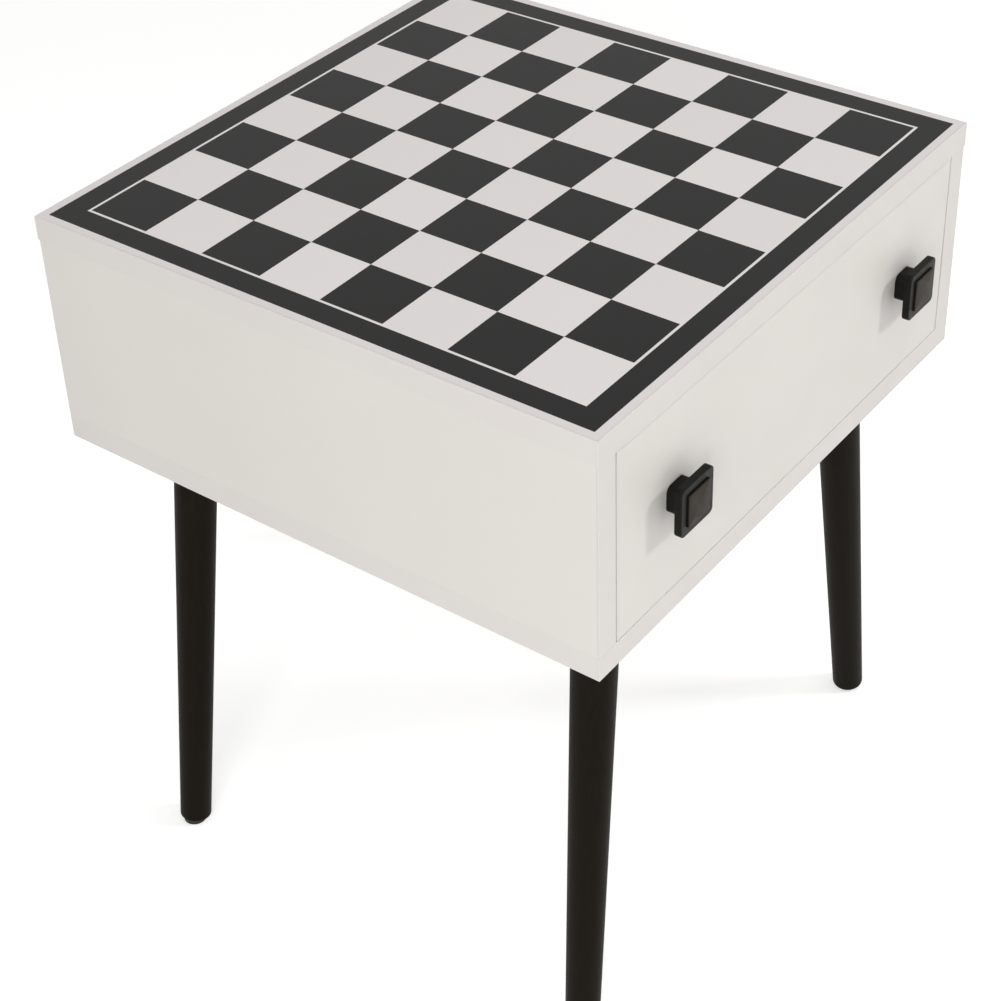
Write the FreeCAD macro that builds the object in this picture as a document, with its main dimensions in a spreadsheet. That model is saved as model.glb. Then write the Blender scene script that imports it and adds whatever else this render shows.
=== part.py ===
"""Chess table with an inlaid board, one drawer on roller runners and four splayed legs.

Millimetres, +Z up, the floor at Z = 0, the drawer facing -Y.  The origin is the middle of
the footprint.  Every driving dimension is a cell of the sheet "Sizes"; everything else is
worked out from those cells.
"""
import FreeCAD, Part
import math
import os
import re
import Sketcher
from FreeCAD import Placement, Rotation, Vector

doc = FreeCAD.newDocument("ChessTable")
sheet = doc.addObject("Spreadsheet::Sheet", "Sizes")
sub_parts = []


# ---------------------------------------------------------------- sizes

SIZES = {
    # the inlaid board
    "square_size": 50,
    "inlay_thick": 2,
    "line_width": 2,
    "border_width": 18,
    "top_margin": 7,

    # the box
    "total_height": 540,
    "cabinet_height": 162,
    "top_thick": 18,
    "side_thick": 18,
    "bottom_thick": 18,
    "back_thick": 18,
    "edge_band": 1,
    "top_side_overhang": 0.5,
    "top_front_overhang": 0.5,
    "top_back_overhang": 1,

    # the drawer
    "front_thick": 18,
    "front_side_gap": 1.2,
    "front_top_gap": 1,
    "front_bottom_gap": 1.5,
    "drawer_side_thick": 12,
    "drawer_back_thick": 12,
    "drawer_bottom_thick": 3,
    "drawer_headroom": 31,
    "drawer_rear_gap": 16.5,
    "groove_depth": 6,
    "groove_lift": 8,
    "groove_play": 0.3,

    # the roller runners
    "runner_gap": 12.5,
    "runner_lift": 10,
    "rail_setback": 20,
    "rail_sheet": 1.2,
    "rail_height": 20.2,
    "rail_gap": 0.7,
    "drawer_rail_drop": 3,
    "track_gap": 1.3,
    "track_side_gap": 1.5,
    "shelf_width": 10,
    "roller_side_gap": 1.1,
    "roller_head_gap": 0.4,
    "roller_axle": 4,
    "roller_inset": 12,
    "roller_clearance": 0.3,
    "axle_clearance": 0.06,
    "rivet_head": 7,
    "rivet_head_thick": 0.6,
    "rivet_gap": 0.2,

    # the knobs
    "knob_spacing": 289,
    "knob_lift": 1.5,
    "knob_stem": 20,
    "knob_stem_length": 10.5,
    "knob_stem_bevel": 3,
    "knob_plate": 35,
    "knob_plate_thick": 5.5,
    "knob_pad": 24,
    "knob_pad_height": 2,
    "knob_pad_bevel": 0.8,
    "knob_corner": 2.5,
    "knob_bevel": 0.6,
    "knob_screw": 4,
    "knob_screw_head": 8,
    "knob_screw_grip": 8,

    # the legs
    "leg_inset_side": 71.5,
    "leg_inset_end": 51,
    "leg_splay": 9.75,
    "front_left_turn": 22,
    "leg_top": 32.3,
    "leg_foot": 23.5,
    "leg_foot_bevel": 1.8,
    "leg_bolt": 8,
    "leg_bolt_length": 52,
    "leg_bolt_gap": 2,
    "plate_width": 64,
    "plate_thick": 2.5,
    "plate_corner": 8,
    "plate_holes": 46,
    "seat_width": 34,
    "seat_drop": 8,
    "glide_width": 18,
    "glide_thick": 3,
    "glide_pin": 5,
    "glide_pin_length": 12,

    # fastenings
    "joint_inset": 56,
    "joint_pitch": 32,
    "dowel_width": 8,
    "dowel_length": 30,
    "dowel_split": 10,
    "cam_width": 15,
    "cam_depth": 12.5,
    "cam_setback": 34,
    "cam_bolt": 6,
    "cam_bolt_neck": 4,
    "cam_bolt_grip": 11,
    "drawer_cam_depth": 9.5,
    "drawer_cam_setback": 24,
    "drawer_dowel": 6,
    "drawer_dowel_pitch": 28,
    "confirmat_core": 5,
    "confirmat_neck": 7,
    "confirmat_head": 10,
    "confirmat_head_thick": 3,
    "confirmat_length": 50,
    "drawer_screw": 4,
    "drawer_screw_head": 8,
    "drawer_screw_head_thick": 2,
    "drawer_screw_length": 35,
    "drawer_screw_pitch": 48,
    "pan_screw": 3.5,
    "pan_screw_head": 7.4,
    "pan_head_thick": 1.8,
    "rail_screw_length": 13,
    "drawer_rail_screw_length": 8,
    "drawer_bottom_screw_length": 15,
    "plate_screw_length": 15,
    "fit_gap": 0.1,
}

# worked out from the sizes above
WORKED_OUT = {
    "field_width": "8 * square_size",
    "line_outer": "field_width + 2 * line_width",
    "inlay_outer": "line_outer + 2 * border_width",
    "top_width": "inlay_outer + 2 * top_margin",
    "cabinet_width": "top_width - 2 * top_side_overhang",
    "cabinet_depth": "top_width - top_front_overhang - top_back_overhang",
    "top_under_z": "total_height - top_thick",
    "cabinet_under_z": "top_under_z - cabinet_height",
    "side_foot_z": "cabinet_under_z + bottom_thick",
    "side_height": "cabinet_height - bottom_thick",
    "inner_width": "cabinet_width - 2 * side_thick",
    "knob_reach": "knob_stem_length + knob_plate_thick + knob_pad_height",
    "front_y": "(knob_reach + top_front_overhang - top_width) / 2",
    "top_y": "front_y - top_front_overhang",
    "back_y": "front_y + cabinet_depth - back_thick",
    "back_middle_y": "back_y + back_thick / 2",
    "side_middle_x": "(cabinet_width - side_thick) / 2",
    "front_width": "inner_width - 2 * front_side_gap",
    "front_height": "side_height - front_top_gap - front_bottom_gap",
    "front_foot_z": "side_foot_z + front_bottom_gap",
    "knob_z": "front_foot_z + front_height / 2 + knob_lift",
    "drawer_width": "inner_width - 2 * runner_gap",
    "drawer_inner_width": "drawer_width - 2 * drawer_side_thick",
    "drawer_y": "front_y + front_thick",
    "drawer_side_length": "back_y - drawer_rear_gap - drawer_y",
    "drawer_back_middle_y": "drawer_y + drawer_side_length - drawer_back_thick / 2",
    "runner_z": "side_foot_z + runner_lift",
    "drawer_z": "runner_z + drawer_rail_drop",
    "drawer_side_height": "side_height - runner_lift - drawer_rail_drop - drawer_headroom",
    "drawer_back_lift": "groove_lift + drawer_bottom_thick + groove_play / 2",
    "rail_y": "front_y + rail_setback",
    "rail_length": "drawer_side_length",
    "rail_flange": "runner_gap - rail_sheet - rail_gap",
    "track_height": "rail_height - 2 * rail_sheet - track_gap",
    "track_reach": "runner_gap - 2 * rail_sheet - track_side_gap",
    "roller_x": "rail_sheet + pan_head_thick + roller_head_gap + rivet_head_thick + rivet_gap",
    "roller_width": "runner_gap - rail_sheet - roller_side_gap - roller_x",
    "front_roller_z": "(track_height + rail_sheet) / 2",
    "front_roller": "track_height - rail_sheet - 2 * roller_clearance",
    "rear_roller_z": "rail_height / 2",
    "rear_roller": "rail_height - 2 * rail_sheet - 2 * roller_clearance",
    "track_length": "rail_length - roller_inset - rear_roller / 2 - track_gap",
    "leg_reach": "cabinet_under_z / cos(leg_splay * 1deg)",
    "leg_x": "cabinet_width / 2 - leg_inset_side",
    "leg_front_y": "front_y + leg_inset_end",
    "leg_back_y": "front_y + cabinet_depth - leg_inset_end",
}

cells = {**SIZES, **{name: "=" + formula for name, formula in WORKED_OUT.items()}}
for row, (name, content) in enumerate(cells.items(), 1):
    sheet.set(f"A{row}", name)
    sheet.set(f"B{row}", str(content))
    sheet.setAlias(f"B{row}", name)
doc.recompute()


def value(name):
    """The present value of one cell, as a plain number."""
    return float(sheet.get(name))


# ---------------------------------------------------------------- how pieces are made

def cell(formula):
    """A formula of the sheet's names, as an expression that other objects can be bound to."""
    return re.sub(r"\b([a-z]+_[a-z_]+)\b", r"Sizes.\1", formula)


def placed(item, x, y, z, turn="0; 0; 0"):
    """Bind an object's place; turn is yaw; pitch; roll in degrees."""
    base = f"vector({cell(x)}; {cell(y)}; {cell(z)})"
    item.setExpression("Placement", f"placement({base}; rotation({cell(turn)}))")


def new_body(label, x="0", y="0", z="0", turn="0; 0; 0"):
    """A body with its own local frame; its label is the name of the sub-part."""
    body = doc.addObject("PartDesign::Body", label)
    body.Label = label
    placed(body, x, y, z, turn)
    sub_parts.append(body)
    return body


def new_pattern(label):
    """A body that is drawn once, at the origin, and then repeated by copies()."""
    body = new_body(label)
    sub_parts.remove(body)
    return body


def new_sketch(body, plane, offset="0", tilt="0"):
    """A sketch on an origin plane of its body, moved along the plane's normal and tilted."""
    sketch = body.newObject("Sketcher::SketchObject", body.Label + "_sketch")
    support = [item for item in body.Origin.OriginFeatures if item.Role == plane][0]
    sketch.AttachmentSupport = (support, [""])
    sketch.MapMode = "FlatFace"
    frame = f"placement(vector(0; 0; {cell(offset)}); rotation(0; {cell(tilt)}; 0))"
    sketch.setExpression("AttachmentOffset", frame)
    return sketch


def tie(sketch, kind, formula, *where):
    """One dimension of a sketch, bound to the sheet."""
    index = sketch.addConstraint(Sketcher.Constraint(kind, *where, 1.0))
    sketch.setExpression(f"Constraints[{index}]", cell(formula))


def outline(sketch, corners):
    """A closed outline of straight sides; each corner is a pair of formulas."""
    first = sketch.GeometryCount
    count = len(corners)
    turns = [math.tau * i / count for i in range(count + 1)]
    points = [Vector(math.cos(turn), math.sin(turn), 0) for turn in turns]
    for i in range(count):
        sketch.addGeometry(Part.LineSegment(points[i], points[i + 1]), False)
    for i in range(count):
        after = first + (i + 1) % count
        sketch.addConstraint(Sketcher.Constraint("Coincident", first + i, 2, after, 1))
    for i, (across, up) in enumerate(corners):
        tie(sketch, "DistanceX", across, -1, 1, first + i, 1)
        tie(sketch, "DistanceY", up, -1, 1, first + i, 1)


def rectangle(sketch, x, y, width, height):
    """A rectangle from its low corner."""
    outline(sketch, [(x, y), (f"{x} + {width}", y), (f"{x} + {width}", f"{y} + {height}"),
                     (x, f"{y} + {height}")])


def centred_square(sketch, width):
    """A square about the sketch's origin."""
    outline(sketch, [(f"-{width} / 2", f"-{width} / 2"), (f"{width} / 2", f"-{width} / 2"),
                     (f"{width} / 2", f"{width} / 2"), (f"-{width} / 2", f"{width} / 2")])


def circle(sketch, x, y, diameter):
    """A circle about (x, y)."""
    index = sketch.addGeometry(Part.Circle(Vector(1, 1, 0), Vector(0, 0, 1), 1), False)
    tie(sketch, "DistanceX", x, -1, 1, index, 3)
    tie(sketch, "DistanceY", y, -1, 1, index, 3)
    tie(sketch, "Diameter", diameter, index)


def facets(sketch, x, y, diameter, sides):
    """A regular outline about (x, y) whose corners lie on a circle of that diameter."""
    corners = []
    for k in range(sides):
        turn = math.tau * (k + 0.5) / sides
        corners.append((f"{x} + {math.cos(turn):.5f} * ({diameter}) / 2",
                        f"{y} + {math.sin(turn):.5f} * ({diameter}) / 2"))
    outline(sketch, corners)


def pad(body, sketch, length, reverse=False):
    """Material along the sketch's normal."""
    feature = body.newObject("PartDesign::Pad", body.Label + "_pad")
    feature.Profile = sketch
    feature.setExpression("Length", cell(length))
    feature.Reversed = reverse
    return feature


def pocket(body, sketch, depth, reverse=False, both_ways=False):
    """A cut against the sketch's normal, which must take something away."""
    doc.recompute()
    before = body.Shape.Volume
    feature = body.newObject("PartDesign::Pocket", body.Label + "_pocket")
    feature.Profile = sketch
    feature.setExpression("Length", cell(depth))
    feature.Reversed = reverse
    feature.Midplane = both_ways
    doc.recompute()
    if body.Shape.Volume > before - 0.1:
        raise RuntimeError(feature.Name + " cuts nothing")
    return feature


# Small fastenings and their holes repeat, so they are drawn with a few flat sides.
SCREW_SIDES = 8
CAM_SIDES = 12
GLIDE_SIDES = 16
# A turned leg and a roller are drawn with enough flat sides to look round.
LEG_SIDES = 32
ROLLER_SIDES = 32


def drill(body, plane, offset, centres, diameter, depth, reverse=False, sides=SCREW_SIDES):
    """Small holes of one diameter and depth in one face."""
    sketch = new_sketch(body, plane, offset)
    for x, y in centres:
        facets(sketch, x, y, diameter, sides)
    return pocket(body, sketch, depth, reverse)


def stacked(name, *steps, sides=SCREW_SIDES):
    """A pattern built up along Z from coaxial steps, each (diameter, start, end)."""
    pattern = new_pattern(name)
    for diameter, start, end in steps:
        sketch = new_sketch(pattern, "XY_Plane", start)
        facets(sketch, "0", "0", diameter, sides)
        pad(pattern, sketch, f"{end} - ({start})")
    return pattern


def turned(body, sides, *levels):
    """A turned shape about the body's Z axis, straight between levels of (diameter, height)."""
    sketches = []
    for diameter, height in levels:
        sketches.append(new_sketch(body, "XY_Plane", height))
        facets(sketches[-1], "0", "0", diameter, sides)
    doc.recompute()
    feature = body.newObject("PartDesign::AdditiveLoft", body.Label + "_turned")
    feature.Profile = sketches[0]
    feature.Sections = sketches[1:]
    feature.Ruled = True
    doc.recompute()
    return feature


def dress(body, kind, dimension, formula, wanted):
    """A fillet or chamfer on those edges of the body for which wanted(edge) is true."""
    doc.recompute()
    base = body.Tip
    names = [f"Edge{i + 1}" for i, edge in enumerate(base.Shape.Edges) if wanted(edge)]
    feature = body.newObject("PartDesign::" + kind, body.Label + "_" + kind.lower())
    feature.Base = (base, names)
    feature.setExpression(dimension, cell(formula))
    doc.recompute()
    return feature


def board(label, x, y, z, width, depth, height):
    """A plain board with its low corner at (x, y, z)."""
    body = new_body(label, x, y, z)
    sketch = new_sketch(body, "XY_Plane")
    rectangle(sketch, "0", "0", width, depth)
    pad(body, sketch, height)
    return body


def mirror(label, source):
    """The right-hand twin of a left-hand piece."""
    twin = doc.addObject("Part::Mirroring", label)
    twin.Label = label
    twin.Source = source
    twin.Normal = Vector(1, 0, 0)
    sub_parts.append(twin)
    return twin


def strip(name, x, y, z, width, depth, height):
    """One square-cut strip or tile."""
    box = doc.addObject("Part::Box", name)
    for side, formula in (("Length", width), ("Width", depth), ("Height", height)):
        box.setExpression(side, cell(formula))
    placed(box, x, y, z)
    return box


def group(label, members):
    """Separate solids of one kind, kept under one name."""
    compound = doc.addObject("Part::Compound", label)
    compound.Label = label
    compound.Links = members
    sub_parts.append(compound)
    return compound


def copies(label, pattern, places):
    """One group of linked copies of a pattern; each place is (x, y, z, turn)."""
    links = []
    for place in places:
        link = doc.addObject("App::Link", f"{label}_{len(links) + 1}")
        link.LinkedObject = pattern
        placed(link, *place)
        links.append(link)
    return group(label, links)


# turns that lay a pattern's +Z along a direction of the table
UP = "0; 0; 0"
TO_RIGHT = "0; 90; 0"
TO_LEFT = "0; -90; 0"
TO_BACK = "0; 0; -90"
TO_FRONT = "0; 0; 90"
SIDES = (("-", TO_RIGHT), ("", TO_LEFT))


# ---------------------------------------------------------------- where the joints sit

# distances from the cabinet's front plane, along the sides
CAM_ROWS = ("joint_inset", "cabinet_depth - joint_inset")
DOWEL_ROWS = ("joint_inset + joint_pitch", "cabinet_depth - joint_inset - joint_pitch")
# up the back panel's ends, from the bottom panel
BACK_DOWEL_ROWS = ("side_height / 2 - joint_pitch", "side_height / 2 + joint_pitch")
# along each runner rail
RAIL_SCREW_ROWS = ("rail_length / 4", "rail_length * 3 / 4")
# up the drawer's sides, from their lower edge
DRAWER_CAM_ROW = "drawer_side_height / 2"
DRAWER_DOWEL_ROWS = ("drawer_side_height / 2 - drawer_dowel_pitch",
                     "drawer_side_height / 2 + drawer_dowel_pitch")
# up the drawer's back, from its own lower edge
DRAWER_BACK_ROWS = ("(drawer_side_height - drawer_back_lift - drawer_screw_pitch) / 2",
                    "(drawer_side_height - drawer_back_lift + drawer_screw_pitch) / 2")
# across the drawer, from its left side
DRAWER_BOTTOM_ROWS = ("drawer_width / 4", "drawer_width * 3 / 4")

# name, x, y and heading of each leg; a heading is the way the foot leans, from +X
LEG_CORNERS = (("front_left", "-leg_x", "leg_front_y", "180 + front_left_turn"),
               ("front_right", "leg_x", "leg_front_y", "0"),
               ("back_left", "-leg_x", "leg_back_y", "180"),
               ("back_right", "leg_x", "leg_back_y", "0"))

cabinet_joints = [(f"{side}side_middle_x", f"front_y + {row}") for side in ("-", "")
                  for row in CAM_ROWS]
cabinet_dowels = [(f"{side}side_middle_x", f"front_y + {row}") for side in ("-", "")
                  for row in DOWEL_ROWS]


def plate_screw_spots():
    """Where the four screws of each leg plate enter the bottom panel."""
    spots = []
    for _, x, y, heading in LEG_CORNERS:
        for a, b in ((-1, -1), (1, -1), (1, 1), (-1, 1)):
            along = f"({a} * cos(({heading}) * 1deg) - {b} * sin(({heading}) * 1deg))"
            across = f"({a} * sin(({heading}) * 1deg) + {b} * cos(({heading}) * 1deg))"
            spots.append((f"{x} + plate_holes / 2 * {along}", f"{y} + plate_holes / 2 * {across}"))
    return spots


def local(spots, x, y):
    """Table positions turned into positions from a board's own corner."""
    return [(f"{across} - ({x})", f"{along} - ({y})") for across, along in spots]


# ---------------------------------------------------------------- top with the inlaid board

top_corner = ("edge_band - top_width / 2", "top_y + edge_band")
top_panel = board("top_panel", *top_corner, "top_under_z",
                  "top_width - 2 * edge_band", "top_width - 2 * edge_band", "top_thick")
recess = new_sketch(top_panel, "XY_Plane", "top_thick")
rectangle(recess, "top_margin - edge_band", "top_margin - edge_band", "inlay_outer", "inlay_outer")
pocket(top_panel, recess, "inlay_thick")
drill(top_panel, "XY_Plane", "0", local(cabinet_joints, *top_corner),
      "cam_bolt + 2 * fit_gap", "cam_bolt_grip + fit_gap", reverse=True)
drill(top_panel, "XY_Plane", "0", local(cabinet_dowels, *top_corner),
      "dowel_width + 2 * fit_gap", "dowel_split + fit_gap", reverse=True)


def band_around(name, x, y, z, width, depth, height):
    """Four edge bands round a level board: two run through, two stand between them."""
    inner = f"{depth} - 2 * edge_band"
    return [
        strip(name + "_front", x, y, z, width, "edge_band", height),
        strip(name + "_back", x, f"{y} + {depth} - edge_band", z, width, "edge_band", height),
        strip(name + "_left", x, f"{y} + edge_band", z, "edge_band", inner, height),
        strip(name + "_right", f"{x} + {width} - edge_band", f"{y} + edge_band", z,
              "edge_band", inner, height)]


group("top_edging", band_around("top_band", "-top_width / 2", "top_y", "top_under_z",
                                "top_width", "top_width", "top_thick"))

tiles = {"light_squares": [], "dark_squares": []}
for column in range(8):
    for rank in range(8):
        # the square nearest the front left corner is light
        kind = "dark_squares" if (column + rank) % 2 else "light_squares"
        tiles[kind].append(strip(
            f"square_{column}_{rank}", f"{column} * square_size - field_width / 2",
            f"top_y + (top_width - field_width) / 2 + {rank} * square_size",
            "total_height - inlay_thick", "square_size", "square_size", "inlay_thick"))
for kind, members in tiles.items():
    group(kind, members)


def mitred_frame(label, outer, width):
    """Four strips mitred at the corners, laid round the playing field."""
    pattern = new_pattern(label + "_pattern")
    sketch = new_sketch(pattern, "XY_Plane")
    outline(sketch, [(f"-{outer} / 2", f"-{outer} / 2"), (f"{outer} / 2", f"-{outer} / 2"),
                     (f"{outer} / 2 - {width}", f"{width} - {outer} / 2"),
                     (f"{width} - {outer} / 2", f"{width} - {outer} / 2")])
    pad(pattern, sketch, "inlay_thick")
    copies(label, pattern, [("0", "top_y + top_width / 2", "total_height - inlay_thick",
                             f"{90 * quarter}; 0; 0") for quarter in range(4)])


mitred_frame("line_strips", "line_outer", "line_width")
mitred_frame("border_strips", "inlay_outer", "border_width")


# ---------------------------------------------------------------- cabinet

dowel_hole = "dowel_width + 2 * fit_gap"
long_dowel_end = "dowel_length - dowel_split + fit_gap"
confirmat_hole = "confirmat_core + 2 * fit_gap"
confirmat_end = "confirmat_length - bottom_thick + fit_gap"

side_corner = ("-cabinet_width / 2", "front_y + edge_band")
side_cams = [(f"{row} - edge_band", "side_height - cam_setback") for row in CAM_ROWS]
side_joints = [("side_thick / 2", f"{row} - edge_band") for row in CAM_ROWS]
side_dowels = [("side_thick / 2", f"{row} - edge_band") for row in DOWEL_ROWS]
side_back_dowels = [("cabinet_depth - back_thick / 2 - edge_band", row)
                    for row in BACK_DOWEL_ROWS]
side_rail_screws = [(f"rail_setback - edge_band + {row}", "runner_lift + rail_height / 2")
                    for row in RAIL_SCREW_ROWS]
left_side = board("left_side_panel", *side_corner, "side_foot_z",
                  "side_thick", "cabinet_depth - 2 * edge_band", "side_height")
drill(left_side, "YZ_Plane", "side_thick", side_cams, "cam_width + 2 * fit_gap", "cam_depth",
      sides=CAM_SIDES)
drill(left_side, "XY_Plane", "side_height", side_joints, "cam_bolt + 2 * fit_gap", "cam_setback")
drill(left_side, "XY_Plane", "side_height", side_dowels, dowel_hole, long_dowel_end)
drill(left_side, "XY_Plane", "0", side_dowels, dowel_hole, long_dowel_end, reverse=True)
drill(left_side, "XY_Plane", "0", side_joints, confirmat_hole, confirmat_end, reverse=True)
drill(left_side, "YZ_Plane", "side_thick", side_back_dowels, dowel_hole, "dowel_split + fit_gap")
drill(left_side, "YZ_Plane", "side_thick", side_rail_screws, "pan_screw + 2 * fit_gap",
      "rail_screw_length - rail_sheet + fit_gap")
mirror("right_side_panel", left_side)

back_panel = board("back_panel", "-inner_width / 2", "back_y", "side_foot_z",
                   "inner_width", "back_thick", "side_height")
back_ends = [("back_thick / 2", row) for row in BACK_DOWEL_ROWS]
drill(back_panel, "YZ_Plane", "0", back_ends, dowel_hole, long_dowel_end, reverse=True)
drill(back_panel, "YZ_Plane", "inner_width", back_ends, dowel_hole, long_dowel_end)

bottom_corner = ("edge_band - cabinet_width / 2", "front_y + edge_band")
bottom_panel = board("bottom_panel", *bottom_corner, "cabinet_under_z",
                     "cabinet_width - 2 * edge_band", "cabinet_depth - 2 * edge_band",
                     "bottom_thick")
drill(bottom_panel, "XY_Plane", "bottom_thick", local(cabinet_dowels, *bottom_corner),
      dowel_hole, "dowel_split + fit_gap")
drill(bottom_panel, "XY_Plane", "0", local(cabinet_joints, *bottom_corner),
      "confirmat_neck + 2 * fit_gap", "bottom_thick", reverse=True)
drill(bottom_panel, "XY_Plane", "0", local(cabinet_joints, *bottom_corner),
      "confirmat_head + 2 * fit_gap", "confirmat_head_thick + fit_gap", reverse=True)
drill(bottom_panel, "XY_Plane", "0", local(plate_screw_spots(), *bottom_corner),
      "pan_screw + 2 * fit_gap", "plate_screw_length - plate_thick + fit_gap", reverse=True)

side_bands = [
    strip("side_band_front_left", "-cabinet_width / 2", "front_y", "side_foot_z",
          "side_thick", "edge_band", "side_height"),
    strip("side_band_front_right", "cabinet_width / 2 - side_thick", "front_y", "side_foot_z",
          "side_thick", "edge_band", "side_height"),
    strip("side_band_back_left", "-cabinet_width / 2", "front_y + cabinet_depth - edge_band",
          "side_foot_z", "side_thick", "edge_band", "side_height"),
    strip("side_band_back_right", "cabinet_width / 2 - side_thick",
          "front_y + cabinet_depth - edge_band", "side_foot_z",
          "side_thick", "edge_band", "side_height")]
group("carcass_edging", side_bands + band_around(
    "bottom_band", "-cabinet_width / 2", "front_y", "cabinet_under_z", "cabinet_width",
    "cabinet_depth", "bottom_thick"))


# ---------------------------------------------------------------- cabinet fastenings

def cam_bolt_pattern(name, setback):
    """A cam bolt: its thread above Z = 0, its neck and head reaching down to the cam."""
    return stacked(name, ("cam_bolt", f"-{setback}", f"cam_bolt_neck - {setback}"),
                   ("cam_bolt_neck", f"cam_bolt_neck - {setback}", f"2 * cam_bolt_neck - {setback}"),
                   ("cam_bolt", f"2 * cam_bolt_neck - {setback}", "cam_bolt_grip"))


def cam_pattern(name, depth, bolt_axis):
    """A cam lock that fills its bore from Z = 0; the bolt enters along +Y at bolt_axis."""
    pattern = new_pattern(name)
    disc = new_sketch(pattern, "XY_Plane")
    facets(disc, "0", "0", "cam_width", CAM_SIDES)
    pad(pattern, disc, f"{depth} - fit_gap")
    slot = new_sketch(pattern, "XZ_Plane", "fit_gap")
    rectangle(slot, "-cam_bolt / 2 - fit_gap", f"{bolt_axis} - cam_bolt / 2 - fit_gap",
              "cam_bolt + 2 * fit_gap", depth)
    pocket(pattern, slot, "cam_width")
    return pattern


dowel = stacked("carcass_dowel_pattern", ("dowel_width", "0", "dowel_length"))
copies("carcass_dowels", dowel,
       [(x, y, "top_under_z + dowel_split - dowel_length", UP) for x, y in cabinet_dowels]
       + [(x, y, "side_foot_z - dowel_split", UP) for x, y in cabinet_dowels]
       + [(f"{side}(inner_width / 2 + dowel_split)", "back_middle_y", f"side_foot_z + {row}", turn)
          for side, turn in SIDES for row in BACK_DOWEL_ROWS])

copies("cam_bolts", cam_bolt_pattern("cam_bolt_pattern", "cam_setback"),
       [(x, y, "top_under_z", UP) for x, y in cabinet_joints])

# the cams are set in from the sides' inner faces, their mouths upwards
copies("cam_locks", cam_pattern("cam_lock_pattern", "cam_depth", "side_thick / 2"),
       [(f"{side}inner_width / 2", f"front_y + {row}", "top_under_z - cam_setback", turn)
        for side, turn in (("-", "-90; 0; 90"), ("", "90; 0; 90")) for row in CAM_ROWS])


def pan_screw_pattern(name, shank, head, length):
    """A pan-head screw; its head rests on Z = 0 and it points to +Z."""
    return stacked(name, (head, "-pan_head_thick", "0"), (shank, "0", length))


confirmat = stacked("confirmat_pattern", ("confirmat_head", "0", "confirmat_head_thick"),
                    ("confirmat_neck", "confirmat_head_thick", "bottom_thick - fit_gap"),
                    ("confirmat_core", "bottom_thick - fit_gap", "confirmat_length"))
copies("confirmat_screws", confirmat,
       [(x, y, "cabinet_under_z", UP) for x, y in cabinet_joints])


# ---------------------------------------------------------------- drawer

front_corner_x = "edge_band - front_width / 2"
front_rise = "drawer_z - front_foot_z - edge_band"
front_lines = [f"{side}(drawer_width - drawer_side_thick) / 2 - ({front_corner_x})"
               for side in ("-", "")]
drawer_front = board("drawer_front", front_corner_x, "front_y", "front_foot_z + edge_band",
                     "front_width - 2 * edge_band", "front_thick", "front_height - 2 * edge_band")
drill(drawer_front, "XZ_Plane", "-front_thick",
      [(x, f"{front_rise} + {DRAWER_CAM_ROW}") for x in front_lines],
      "cam_bolt + 2 * fit_gap", "cam_bolt_grip + fit_gap", reverse=True)
drill(drawer_front, "XZ_Plane", "-front_thick",
      [(x, f"{front_rise} + {row}") for x in front_lines for row in DRAWER_DOWEL_ROWS],
      "drawer_dowel + 2 * fit_gap", "dowel_split + fit_gap", reverse=True)
drill(drawer_front, "XZ_Plane", "0",
      [(f"{side}knob_spacing / 2 - ({front_corner_x})", "front_height / 2 + knob_lift - edge_band")
       for side in ("-", "")], "knob_screw + 4 * fit_gap", "front_thick")
front_groove = new_sketch(drawer_front, "XZ_Plane", "-front_thick")
rectangle(front_groove, f"-drawer_inner_width / 2 - groove_depth - ({front_corner_x})",
          f"{front_rise} + groove_lift - groove_play / 2",
          "drawer_inner_width + 2 * groove_depth", "drawer_bottom_thick + groove_play")
pocket(drawer_front, front_groove, "groove_depth", reverse=True)

group("drawer_front_edging", [
    strip("front_band_foot", "-front_width / 2", "front_y", "front_foot_z",
          "front_width", "front_thick", "edge_band"),
    strip("front_band_head", "-front_width / 2", "front_y",
          "front_foot_z + front_height - edge_band", "front_width", "front_thick", "edge_band"),
    strip("front_band_left", "-front_width / 2", "front_y", "front_foot_z + edge_band",
          "edge_band", "front_thick", "front_height - 2 * edge_band"),
    strip("front_band_right", "front_width / 2 - edge_band", "front_y",
          "front_foot_z + edge_band", "edge_band", "front_thick",
          "front_height - 2 * edge_band")])

drawer_left = board("drawer_left_side", "-drawer_width / 2", "drawer_y", "drawer_z",
                    "drawer_side_thick", "drawer_side_length", "drawer_side_height")
side_groove = new_sketch(drawer_left, "YZ_Plane", "drawer_side_thick")
rectangle(side_groove, "0", "groove_lift - groove_play / 2", "drawer_side_length",
          "drawer_bottom_thick + groove_play")
pocket(drawer_left, side_groove, "groove_depth")
drill(drawer_left, "YZ_Plane", "0", [("drawer_cam_setback", DRAWER_CAM_ROW)],
      "cam_width + 2 * fit_gap", "drawer_cam_depth", reverse=True, sides=CAM_SIDES)
drill(drawer_left, "XZ_Plane", "0", [("drawer_side_thick / 2", DRAWER_CAM_ROW)],
      "cam_bolt + 2 * fit_gap", "drawer_cam_setback")
drill(drawer_left, "XZ_Plane", "0",
      [("drawer_side_thick / 2", row) for row in DRAWER_DOWEL_ROWS],
      "drawer_dowel + 2 * fit_gap", long_dowel_end)
drill(drawer_left, "YZ_Plane", "0",
      [("drawer_side_length - drawer_back_thick / 2", f"drawer_back_lift + {row}")
       for row in DRAWER_BACK_ROWS], "drawer_screw + 2 * fit_gap", "drawer_side_thick",
      reverse=True)
drill(drawer_left, "YZ_Plane", "0",
      [("drawer_side_length - drawer_back_thick / 2", f"drawer_back_lift + {row}")
       for row in DRAWER_BACK_ROWS], "drawer_screw_head + 2 * fit_gap",
      "drawer_screw_head_thick + fit_gap", reverse=True)
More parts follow.
